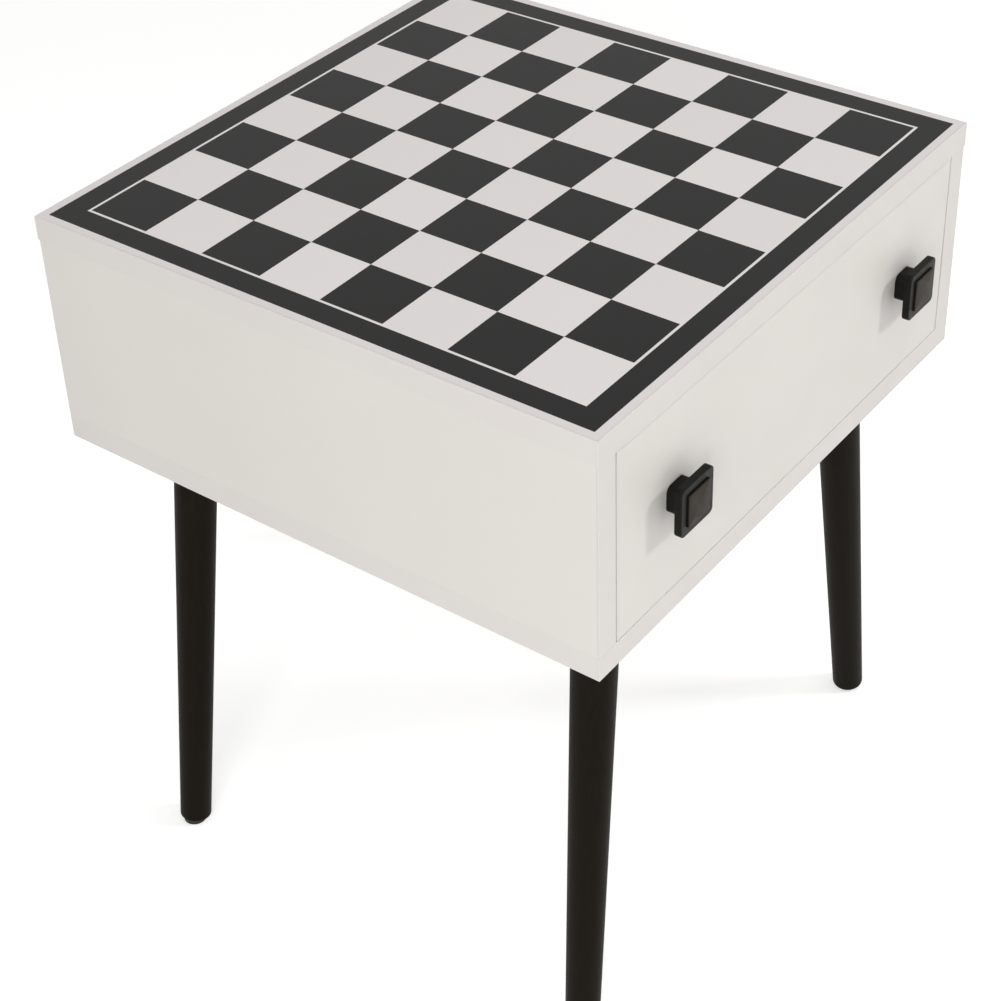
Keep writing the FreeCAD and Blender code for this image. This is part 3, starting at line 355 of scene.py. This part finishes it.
def veneer(name, light_tone, dark_tone, specular, roughness, squares=True):
    """Dyed veneer: each square a shade of its own, with fine grain drawn along X."""
    material, tree, shader = finish(name, light_tone, roughness, specular)
    grain = clouds(tree, place_on_object(tree, stretch=(0.06, 1, 1)), scale=900, detail=3)
    if squares:
        leaf = shade_of_square(tree)
    else:
        leaf = clouds(tree, place_on_object(tree), scale=7, detail=1)
    mix = tree.nodes.new("ShaderNodeMath")
    mix.operation = "MULTIPLY_ADD"
    mix.inputs[1].default_value = grain_share
    tree.links.new(grain, mix.inputs[0])
    leaf_part = tree.nodes.new("ShaderNodeMath")
    leaf_part.operation = "MULTIPLY"
    leaf_part.inputs[1].default_value = 1 - grain_share
    tree.links.new(leaf, leaf_part.inputs[0])
    tree.links.new(leaf_part.outputs[0], mix.inputs[2])
    tone = two_tones(tree, mix.outputs[0], dark_tone, light_tone)
    tree.links.new(tone, shader.inputs["Base Color"])
    tree.links.new(spread(tree, grain, low=roughness - 0.03, high=roughness + 0.05),
                   shader.inputs["Roughness"])
    relief(tree, shader, grain, depth=0.000015)
    return material


white_tones = (0.762, 0.728, 0.720), (0.734, 0.700, 0.692)
black_tones = (0.0130, 0.0126, 0.0126), (0.0106, 0.0102, 0.0102)
veneer_white = veneer("veneer_white", *white_tones, specular=0.3, roughness=0.42)
veneer_black = veneer("veneer_black", *black_tones, specular=0.12, roughness=0.37)
line_white = veneer("line_white", *white_tones, specular=0.3, roughness=0.42, squares=False)
border_black = veneer("border_black", *black_tones, specular=0.12, roughness=0.37,
                      squares=False)
dress("light_squares", veneer_white)
dress("dark_squares", veneer_black)
dress("line_strips", line_white)
dress("border_strips", border_black)


# ---------------------------------------------------------------- the cabinet
# Two sides on a bottom, with the back between them, all of the same faced board.
# Bands cover the board's edges in front, behind and round the bottom.

for node in ("left_side_panel", "right_side_panel", "back_panel", "bottom_panel"):
    dress(node, board_white)

cabinet_half, cabinet_front, cabinet_back = 0.2265, -0.21775, 0.23475
cabinet_under, side_foot, side_thick = 0.360, 0.378, 0.018
boxes = []
for y in (cabinet_front, cabinet_back - band):
    boxes += [((-cabinet_half, y, side_foot), (side_thick - cabinet_half, y + band, top_under)),
              ((cabinet_half - side_thick, y, side_foot), (cabinet_half, y + band, top_under)),
              ((-cabinet_half, y, cabinet_under), (cabinet_half, y + band, side_foot))]
for x in (-cabinet_half, cabinet_half - band):
    boxes.append(((x, cabinet_front + band, cabinet_under),
                  (x + band, cabinet_back - band, side_foot)))
cabinet_bands = eased_bands("eased_cabinet_bands", boxes)
cabinet_bands.data.materials.append(band_white)
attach(cabinet_bands, "cabinet")
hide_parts("carcass_edging")


# ---------------------------------------------------------------- the cabinet's fastenings
# Beech dowels set the panels; cam bolts and locks draw the top down on the sides, and long
# sunk screws come up through the bottom.

beech, tree, shader = finish("beech", (0.62, 0.43, 0.27), roughness=0.6, specular=0.3)
rings = clouds(tree, place_on_object(tree, stretch=(1, 1, 0.12)), scale=700, detail=4)
tree.links.new(two_tones(tree, rings, (0.50, 0.32, 0.18), (0.66, 0.47, 0.30)),
               shader.inputs["Base Color"])
relief(tree, shader, rings, depth=0.00004)


def metal(name, colour, roughness, grit=0.000012):
    """Plated or cast metal: a cloudy sheen and a fine tooth."""
    material, tree, shader = finish(name, colour, roughness, metallic=1.0)
    where = place_on_object(tree)
    sheen = clouds(tree, where, scale=300, detail=3)
    tree.links.new(spread(tree, sheen, low=roughness - 0.08, high=roughness + 0.1),
                   shader.inputs["Roughness"])
    relief(tree, shader, clouds(tree, where, scale=2500), depth=grit)
    return material


def cross_recess(length, width):
    """Forty angles round a cross, and how far it reaches at each.

    With a the angle from the nearest arm, the reach is length / cos a on the arm's end and
    width / sin a beside it; the arms' corners, where the two meet, are among the angles.
    """
    arm = math.atan2(width, length)
    quarter = np.array((-0.785, -0.64, -0.50, -0.37, -arm, 0.0, arm, 0.37, 0.50, 0.64))
    turn = (np.arange(4)[:, None] * math.pi / 2 + quarter).ravel()
    a = np.abs((turn + math.pi / 4) % (math.pi / 2) - math.pi / 4)
    return turn, np.minimum(length / np.cos(a), width / np.maximum(np.sin(a), 1e-3))


def hexagon_recess(flat):
    """Angles round a hexagon, and its reach: flat / cos a at a from the middle of a side."""
    turn = np.arange(36) * math.pi / 18
    return turn, flat / np.cos(turn % (math.pi / 3) - math.pi / 6)


def fastening_rows(recess, depth, profile):
    """Loops up the wall of the recess to the head's face, then down the profile.

    Each loop is x = r cos u, y = r sin u at its height; Z points the way it is driven.
    """
    turn, mouth = recess
    face = profile[0][1]
    levels = [(0.5 * mouth, face + depth), (0.92 * mouth, face + 0.2 * depth), (mouth, face)]
    levels += [(np.full(len(turn), radius), height) for radius, height in profile]
    return np.array([np.column_stack((radius * np.cos(turn), radius * np.sin(turn),
                                      np.full(len(turn), height)))
                     for radius, height in levels])


def cam_lock(deep, radius=0.0073, ease=0.0003):
    """A round lock, deep from its face to its hidden end, with a cross in its eased face."""
    cross = cross_recess(length=0.0042, width=0.0009)
    return fastening_rows(cross, 0.0022, (
        (radius - ease, -deep), (radius, ease - deep), (radius, 0)))


def pan_screw(head, thick, shank, length):
    """A pan head domed down to its rim, over a shank with a short point."""
    return fastening_rows(cross_recess(0.50 * head, 0.12 * head), 0.8 * thick, (
        (0.62 * head, -thick), (0.84 * head, -0.90 * thick), (0.96 * head, -0.62 * thick),
        (head, -0.3 * thick), (head, 0), (shank, 0), (shank, length - 0.003),
        (0.2 * shank, length)))


def set_at(rows, places):
    """A copy of the rows at each place, with its Z axis turned to that place's heading."""
    copies = []
    for point, heading in places:
        turn = np.array(Vector(heading).to_track_quat("Z", "Y").to_matrix())
        copies.append(rows @ turn.T + np.array(point))
    return np.array(copies)


def fasten(name, node, body, material, rows, places):
    """Copies of one fastening as one piece that stands for its node."""
    piece = mesh_piece(name, *closed_rows(set_at(rows, places)))
    piece.data.materials.append(material)
    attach(piece, body)
    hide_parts(node)


zinc = metal("zinc_plate", (0.60, 0.61, 0.62), roughness=0.32)
casting = metal("zinc_casting", (0.52, 0.52, 0.52), roughness=0.5, grit=0.00004)
dress("carcass_dowels", beech)
dress("cam_bolts", zinc)

joint_x, joint_rows = 0.2175, (-0.16175, 0.17875)
inner_half, lock_height, lock_depth = 0.2085, 0.488, 0.0124
fasten("slotted_cam_locks", "cam_locks", "cabinet", casting,
       cam_lock(lock_depth),
       [((sign * (inner_half + lock_depth), y, lock_height), (sign, 0, 0))
        for sign in (-1, 1) for y in joint_rows])
sunk_head, sunk_thick = 0.0049, 0.003
long_screw = fastening_rows(hexagon_recess(flat=0.002), 0.0024, (
    (sunk_head - 0.0003, -sunk_thick), (sunk_head, 0.0003 - sunk_thick), (sunk_head, 0),
    (0.0034, 0), (0.0034, 0.013), (0.0024, 0.014), (0.0024, 0.045), (0.0008, 0.047)))
fasten("socket_screws", "confirmat_screws", "cabinet", zinc, long_screw,
       [((sign * joint_x, y, cabinet_under + sunk_thick), (0, 0, 1))
        for sign in (-1, 1) for y in joint_rows])


# ---------------------------------------------------------------- the drawer
# A banded front on two sides and a back, all of faced board, held by dowels, cam locks and
# screws.  A thin hardboard bottom slides in grooves and is screwed to the back.

dress("drawer_front", board_white)

front_half, front_face_y, front_inside_y = 0.2073, -0.21775, -0.19975
front_foot, front_head = 0.3795, 0.5210
gap_under, gap_over, gap_right = 0.0007, 0.0004, 0.0015
right_end = inner_half - gap_right
boxes = [((-front_half, front_face_y, side_foot + gap_under),
          (right_end, front_inside_y, front_foot + band)),
         ((-front_half, front_face_y, front_head - band),
          (right_end, front_inside_y, top_under - gap_over)),
         ((-front_half, front_face_y, front_foot + band),
          (band - front_half, front_inside_y, front_head - band)),
         ((front_half - band, front_face_y, front_foot + band),
          (right_end, front_inside_y, front_head - band))]
front_bands = eased_bands("eased_front_bands", boxes)
front_bands.data.materials.append(band_white)
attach(front_bands, "drawer")
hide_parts("drawer_front_edging")

for node in ("drawer_left_side", "drawer_right_side", "drawer_back"):
    dress(node, board_white)
hardboard = satin_board("hardboard_white", (0.71, 0.70, 0.675), (0.69, 0.68, 0.655),
                        peel=0.00006)
dress("drawer_bottom", hardboard)

dress("drawer_dowels", beech)
dress("drawer_cam_bolts", zinc)
drawer_half, drawer_lock_depth = 0.196, 0.0094
drawer_lock_y, drawer_lock_z = -0.17575, 0.441
fasten("slotted_drawer_locks", "drawer_cam_locks", "drawer", casting,
       cam_lock(drawer_lock_depth),
       [((sign * (drawer_half - drawer_lock_depth), drawer_lock_y, drawer_lock_z),
         (-sign, 0, 0)) for sign in (-1, 1)])
back_row, back_screw_rows, sunk_drawer_thick = 0.19425, (0.42258, 0.47058), 0.002
sunk_screw = fastening_rows(cross_recess(length=0.0021, width=0.0005), 0.0015, (
    (0.0037, -sunk_drawer_thick), (0.0039, 0.0002 - sunk_drawer_thick), (0.0019, 0),
    (0.0019, 0.030), (0.0004, 0.033)))
fasten("drawer_side_screws", "drawer_back_screws", "drawer", zinc, sunk_screw,
       [((sign * (drawer_half - sunk_drawer_thick), back_row, z), (-sign, 0, 0))
        for sign in (-1, 1) for z in back_screw_rows])
pan_head, pan_thick, pan_shank = 0.0036, 0.0018, 0.0017
floor_screw_x, floor_screw_z = 0.098, 0.399
fasten("drawer_floor_screws", "drawer_bottom_screws", "drawer", zinc,
       pan_screw(pan_head, pan_thick, pan_shank, length=0.015),
       [((sign * floor_screw_x, back_row, floor_screw_z), (0, 0, 1)) for sign in (-1, 1)])


# ---------------------------------------------------------------- the roller runners
# Rolled steel rails, coated white, are screwed to the cabinet and under the drawer.  Of the
# four nylon rollers, the front pair turns on the cabinet's rails, the rear on the drawer's.

rail_coat, tree, shader = finish("rail_coat", (0.78, 0.78, 0.76), roughness=0.35)
where = place_on_object(tree)
relief(tree, shader, clouds(tree, where, scale=1400), depth=0.00003)
blush = clouds(tree, where, scale=25)
tree.links.new(two_tones(tree, blush, (0.76, 0.76, 0.74), (0.80, 0.80, 0.78)),
               shader.inputs["Base Color"])
roller_nylon, tree, shader = finish("roller_nylon", (0.74, 0.74, 0.71), roughness=0.4,
                                    specular=0.4)
where = place_on_object(tree)
blush = clouds(tree, where, scale=120)
tree.links.new(two_tones(tree, blush, (0.70, 0.70, 0.67), (0.77, 0.77, 0.74)),
               shader.inputs["Base Color"])
relief(tree, shader, clouds(tree, where, scale=2000), depth=0.00002)
for side in ("left", "right"):
    dress(side + "_cabinet_rail", rail_coat)
    dress(side + "_drawer_rail", rail_coat)


def ring_rows(profile, sides=64):
    """A closed profile of (radius, along) spun about X: y = r cos u, z = r sin u, x = along.

    Both the profile and the turn close on themselves.
    """
    turn = np.arange(sides) * math.tau / sides
    radius, along = np.array(profile).T
    rows = np.stack((np.broadcast_to(along[:, None], (len(along), sides)),
                     radius[:, None] * np.cos(turn), radius[:, None] * np.sin(turn)), -1)
    i, j = np.mgrid[0:len(along), 0:sides]
    row, place = (i + 1) % len(along), (j + 1) % sides
    faces = np.stack((i * sides + j, i * sides + place,
                      row * sides + place, row * sides + j), -1)
    return rows.reshape(-1, 3), faces.reshape(-1, 4).tolist()


def roller_profile(radius, bore=0.00206, width=0.006, ease=0.0004, web=0.0006):
    """Tread, rounded shoulders, a sunk web on both faces, a hub, and the bore."""
    turn = np.linspace(0, math.pi / 2, 5)
    shoulder = np.column_stack((radius - ease + ease * np.cos(turn),
                                width / 2 - ease + ease * np.sin(turn)))
    face = ((0.80 * radius, width / 2), (0.77 * radius, width / 2 - web),
            (bore + 0.0014, width / 2 - web), (bore + 0.0012, width / 2), (bore, width / 2))
    near_side = np.vstack((shoulder, face))
    return np.vstack((near_side, near_side[::-1] * (1, -1)))


roller_x = 0.2013
front_axle, rear_axle = (-0.18575, 0.39685), (0.18825, 0.39810)
for end, radius, (y, z) in (("front", 0.00733, front_axle), ("rear", 0.00858, rear_axle)):
    for side, sign in (("left", -1), ("right", 1)):
        points, faces = ring_rows(roller_profile(radius))
        points += (sign * roller_x, y, z)
        roller = mesh_piece(f"{side}_{end}_nylon_roller", points, faces)
        roller.data.materials.append(roller_nylon)
        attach(roller, f"{side}_{end}_roller")
        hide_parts(f"{side}_{end}_roller")


def rivet(reach, axle=0.002, head=0.0034, thick=0.0006, sides=40):
    """An axle from Z = 0 to reach, and a low round head beyond it."""
    turn = np.arange(sides) * math.tau / sides
    levels = ((axle, 0), (axle, reach), (head, reach), (head, reach + 0.4 * thick),
              (0.85 * head, reach + 0.8 * thick), (0.5 * head, reach + thick))
    return np.array([np.column_stack((r * np.cos(turn), r * np.sin(turn), np.full(sides, h)))
                     for r, h in levels])


runner_screw_rows = (-0.09775, 0.10225)
rail_face_x, rail_screw_z = 0.2073, 0.3981
shelf_screw_x, shelf_screw_z, shelf_screw_shift = 0.190, 0.3898, 0.002
fasten("front_rivets", "front_roller_rivets", "cabinet", zinc,
       rivet(reach=0.0104),
       [((sign * inner_half, *front_axle), (-sign, 0, 0)) for sign in (-1, 1)])
fasten("rear_rivets", "rear_roller_rivets", "drawer", zinc,
       rivet(reach=0.0085),
       [((sign * drawer_half, *rear_axle), (sign, 0, 0)) for sign in (-1, 1)])
fasten("cabinet_rail_screws", "rail_screws", "cabinet", zinc,
       pan_screw(pan_head, pan_thick, pan_shank, length=0.013),
       [((sign * rail_face_x, y, rail_screw_z), (sign, 0, 0)) for sign in (-1, 1)
        for y in runner_screw_rows])
fasten("shelf_screws", "drawer_rail_screws", "drawer", zinc,
       pan_screw(pan_head, pan_thick, pan_shank, length=0.008),
       [((sign * shelf_screw_x, y - shelf_screw_shift, shelf_screw_z), (0, 0, 1))
        for sign in (-1, 1) for y in runner_screw_rows])


# ---------------------------------------------------------------- the knobs
# Square knobs, cast in one piece and lacquered black: a stem, a plate with rounded corners
# and a raised pad in a narrow groove.  A screw through the drawer front holds each.

knob_spacing = 0.289
knob_height = 0.45175
stem_half, stem_corner = 0.010, 0.0050
knob_half, knob_corner = 0.0179, 0.0038
pad_half, pad_corner = 0.012, 0.0012
stem_length, knob_thick, pad_height = 0.0105, 0.0055, 0.002
soft_edge, pad_crown = 0.0007, 0.0005
groove_wide, groove_deep = 0.0007, 0.0001
crown_shares = (0.85, 0.7, 0.55, 0.4, 0.25, 0.1)


def knob_points():
    """Rounded squares stacked outwards from the drawer front: stem, plate, then pad.

    Each edge is rounded over e = soft_edge: halfway round, it stands 0.3 e in from both
    faces.  The pad's edge is rounded over 0.6 e.
    The pad is crowned: at a share s of its half width it lies pad_crown s^2 below its middle.
    """
    plate_back = stem_length
    plate_front = stem_length + knob_thick
    pad_front = plate_front + pad_height
    groove_floor = plate_front - groove_deep
    pad_rim = pad_front - pad_crown
    e = soft_edge
    levels = [(stem_half, stem_corner, 0.0), (stem_half, stem_corner, plate_back - e),
              (stem_half + 0.3 * e, stem_corner, plate_back - 0.3 * e),
              (stem_half + e, stem_corner, plate_back),
              (knob_half - e, knob_corner - e, plate_back),
              (knob_half - 0.3 * e, knob_corner - 0.3 * e, plate_back + 0.3 * e),
              (knob_half, knob_corner, plate_back + e),
              (knob_half, knob_corner, plate_front - e),
              (knob_half - 0.3 * e, knob_corner - 0.3 * e, plate_front - 0.3 * e),
              (knob_half - e, knob_corner - e, plate_front),
              (pad_half + groove_wide, pad_corner + groove_wide, plate_front),
              (pad_half + 0.7 * groove_wide, pad_corner + 0.7 * groove_wide, groove_floor),
              (pad_half, pad_corner, groove_floor),
              (pad_half, pad_corner, pad_rim - 0.6 * e),
              (pad_half - 0.2 * e, pad_corner - 0.2 * e, pad_rim - 0.2 * e),
              (pad_half - 0.6 * e, pad_corner - 0.6 * e, pad_rim)]
    levels += [(pad_half * share, pad_corner * share, pad_front - pad_crown * share ** 2)
               for share in crown_shares]
    rows = []
    for half, corner, out in levels:
        loop = rounded_loop(half, half, corner, steps=10)
        rows.append(np.column_stack((loop[:, 0], np.full(len(loop), -out), loop[:, 1])))
    return np.array(rows)


def knob_lacquer(name, light_tone, dark_tone, roughness, specular):
    """Black lacquer: close tones in small clouds, an uneven sheen and a fine grain."""
    material, tree, shader = finish(name, light_tone, roughness, specular)
    where = place_on_object(tree)
    tree.links.new(two_tones(tree, clouds(tree, where, scale=60), dark_tone, light_tone),
                   shader.inputs["Base Color"])
    sheen = clouds(tree, where, scale=200, detail=3)
    tree.links.new(spread(tree, sheen, low=roughness - 0.05, high=roughness + 0.07),
                   shader.inputs["Roughness"])
    relief(tree, shader, clouds(tree, where, scale=1200), depth=0.00003)
    return material


# One black lacquer in three copies: the sides keep the darkest tone, the plate's rim is painted
# lighter and the pad's face lighter still, as painted light on the faces turned to the lamps.
# The pad's face is also tinted warm brown.
knob_sides = knob_lacquer("knob_sides", (0.0062, 0.0062, 0.0050), (0.0044, 0.0044, 0.0036),
                          roughness=0.36, specular=0.11)
knob_rim_painted_light = knob_lacquer("knob_rim_painted_light", (0.0112, 0.0108, 0.0098), (0.0090, 0.0087, 0.0080),
                        roughness=0.43, specular=0.115)
knob_face_painted_light = knob_lacquer("knob_face_painted_light", (0.0205, 0.0150, 0.0072), (0.0152, 0.0110, 0.0055),
                         roughness=0.42, specular=0.098)
# The row of faces that is the plate's rim, and the row at which the pad's face begins; these
# faces take lacquer painted lighter than the sides, as painted light where they turn to the
# lamps.
rim_row, face_row = 9, 13

for side, sign in (("left", -1), ("right", 1)):
    rows = knob_points() + np.array((sign * knob_spacing / 2, front_face_y, knob_height))
    knob = mesh_piece(side + "_square_knob", *closed_rows(rows[None]))
    for lacquer in (knob_sides, knob_rim_painted_light, knob_face_painted_light):
        knob.data.materials.append(lacquer)
    around = rows.shape[1]
    # Slot 0 is the sides' lacquer; slots 1 and 2, the rim and the pad's face, are the copies
    # painted lighter as painted light.
    painted_light_slots = np.zeros(len(knob.data.polygons), int)
    painted_light_slots[rim_row * around:(rim_row + 1) * around] = 1
    painted_light_slots[face_row * around:(len(rows) - 1) * around] = 2
    painted_light_slots[-around:] = 2
    knob.data.polygons.foreach_set("material_index", painted_light_slots)
    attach(knob, "drawer")
    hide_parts(side + "_knob")
fasten("knob_fixing_screws", "knob_screws", "drawer", zinc,
       pan_screw(head=0.0039, thick=pan_thick, shank=0.0019, length=0.0255),
       [((sign * knob_spacing / 2, front_inside_y, knob_height), (0, -1, 0))
        for sign in (-1, 1)])


# ---------------------------------------------------------------- the legs
# Turned beech legs, lacquered black, that taper to the foot and splay outwards, the two left
# ones turned towards the front.  Each is screwed to an angled steel plate under the bottom
# and stands on a nylon glide.

leg_x, leg_front_y, leg_back_y = 0.155, -0.16675, 0.18375
leg_splay = math.radians(9.45)
front_left_turn, back_left_turn = math.radians(22), math.radians(2)
leg_top_radius, leg_foot_radius = 0.0165, 0.0122
leg_reach = cabinet_under / math.cos(leg_splay)
seat_drop, glide_thick, foot_round = 0.008, 0.003, 0.0022


def turned_rows(profile, sides=72):
    """A profile of (radius, height) spun about Z: x = r cos u, y = r sin u, z = height."""
    turn = np.arange(sides) * math.tau / sides
    radius, height = np.array(profile).T
    x = radius[:, None] * np.cos(turn)
    y = radius[:, None] * np.sin(turn)
    return np.stack((x, y, np.broadcast_to(height[:, None], x.shape)), -1)


def leg_profile():
    """From the foot up: a quarter round of foot_round, then one straight taper."""
    foot = glide_thick - leg_reach
    turn = np.linspace(-math.pi / 2, 0, 7)
    radius = leg_foot_radius - foot_round + foot_round * np.cos(turn)
    height = foot + foot_round + foot_round * np.sin(turn)
    share = np.linspace(0, 1, 13)[1:]
    taper = leg_foot_radius + (leg_top_radius - leg_foot_radius) * share
    along = height[-1] + (-seat_drop - height[-1]) * share
    return np.column_stack((np.append(radius, taper), np.append(height, along)))


leg_black, tree, shader = finish("leg_black", (0.0085, 0.0066, 0.0042), roughness=0.48,
                                 specular=0.05)
grain = clouds(tree, place_on_object(tree, stretch=(1, 1, 0.05)), scale=500, detail=4)
tree.links.new(two_tones(tree, grain, (0.0070, 0.0054, 0.0034), (0.0100, 0.0078, 0.0050)),
               shader.inputs["Base Color"])
tree.links.new(spread(tree, grain, low=0.44, high=0.54), shader.inputs["Roughness"])
relief(tree, shader, grain, depth=0.00005)


def leaning(rows, x, y, heading):
    """Rows in a leg's own frame, leaned by the splay towards heading, under the cabinet."""
    lean = Matrix.Rotation(heading, 4, "Z") @ Matrix.Rotation(-leg_splay, 4, "Y")
    seat = Matrix.Translation((x, y, cabinet_under)) @ lean
    return rows @ np.array(seat.to_3x3()).T + np.array(seat.translation)


legs = (("front_left", -leg_x, leg_front_y, math.pi + front_left_turn),
        ("front_right", leg_x, leg_front_y, 0.0),
        ("back_left", -leg_x, leg_back_y, math.pi + back_left_turn),
        ("back_right", leg_x, leg_back_y, 0.0))
for corner, x, y, heading in legs:
    rows = leaning(turned_rows(leg_profile()), x, y, heading)
    leg = mesh_piece("turned_leg_" + corner, *closed_rows(rows[None]))
    leg.data.materials.append(leg_black)
    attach(leg, "cabinet")
    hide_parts("leg_" + corner)

plate_black, tree, shader = finish("plate_black", (0.022, 0.022, 0.023), roughness=0.45,
                                   specular=0.4)
where = place_on_object(tree)
relief(tree, shader, clouds(tree, where, scale=1800), depth=0.00005)
tree.links.new(spread(tree, clouds(tree, where, scale=200), low=0.40, high=0.52),
               shader.inputs["Roughness"])

plate_half, plate_corner, plate_thick = 0.032, 0.008, 0.0025
plate_hole, seat_bury = 0.023, 0.001
seat_profile = ((0.0172, 0.004), (0.0172, 0.0006 - seat_drop), (0.0170, 0.0002 - seat_drop),
                (0.0166, -seat_drop))
flats, seats = [], []
for corner, x, y, heading in legs:
    rows = []
    for inward, height in ((0.0005, 0), (0.0001, -0.0001), (0, -0.0004),
                           (0, 0.0006 - plate_thick), (0.0002, 0.0002 - plate_thick),
                           (0.0006, -plate_thick)):
        loop = rounded_loop(plate_half - inward, plate_half - inward, plate_corner - inward,
                            steps=12)
        rows.append(np.column_stack((loop, np.full(len(loop), height))))
    turn = np.array(Matrix.Rotation(heading, 3, "Z"))
    flats.append(np.array(rows[::-1]) @ turn.T + (x, y, cabinet_under))
    seat = leaning(turned_rows(seat_profile[::-1]), x, y, heading)
    seat[..., 2] = np.minimum(seat[..., 2], cabinet_under - seat_bury)
    seats.append(seat)
points, faces = closed_rows(np.array(flats))
boss_points, boss_faces = closed_rows(np.array(seats))
faces += [[k + len(points) for k in face] for face in boss_faces]
plates = mesh_piece("pressed_leg_plates", np.vstack((points, boss_points)), faces, crease=50)
plates.data.materials.append(plate_black)
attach(plates, "cabinet")
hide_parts("leg_plates")
dress("leg_bolts", zinc)
places = []
for corner, x, y, heading in legs:
    cos, sin = math.cos(heading), math.sin(heading)
    for a, b in ((1, 1), (-1, 1), (-1, -1), (1, -1)):
        across, ahead = a * cos - b * sin, a * sin + b * cos
        places.append(((x + plate_hole * across, y + plate_hole * ahead,
                        cabinet_under - plate_thick), (0, 0, 1)))
fasten("leg_plate_screws", "plate_screws", "cabinet", zinc,
       pan_screw(pan_head, pan_thick, pan_shank, length=0.015), places)

# The glide's profile leans with the leg; its sole is then cut level with the floor.
glide_black, tree, shader = finish("glide_black", (0.024, 0.024, 0.024), roughness=0.5,
                                   specular=0.3)
where = place_on_object(tree)
relief(tree, shader, clouds(tree, where, scale=1500), depth=0.00004)
tree.links.new(spread(tree, clouds(tree, where, scale=150), low=0.45, high=0.6),
               shader.inputs["Roughness"])
sole_radius, glide_radius, rim_radius, nail_radius = 0.0075, 0.0090, 0.0086, 0.0024
rim_height, nail_reach = 0.002, 0.014
glide_profile = ((sole_radius, -glide_thick), (glide_radius, -glide_thick),
                 (glide_radius, rim_height), (rim_radius, glide_thick),
                 (nail_radius, glide_thick), (nail_radius, nail_reach))
glides = []
for corner, x, y, heading in legs:
    rows = turned_rows([(radius, height - leg_reach) for radius, height in glide_profile])
    rows = leaning(rows, x, y, heading)
    rows[..., 2] = np.maximum(rows[..., 2], 0)
    glides.append(rows)
soles = mesh_piece("nylon_glides", *closed_rows(np.array(glides)))
soles.data.materials.append(glide_black)
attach(soles, "cabinet")
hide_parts("leg_glides")
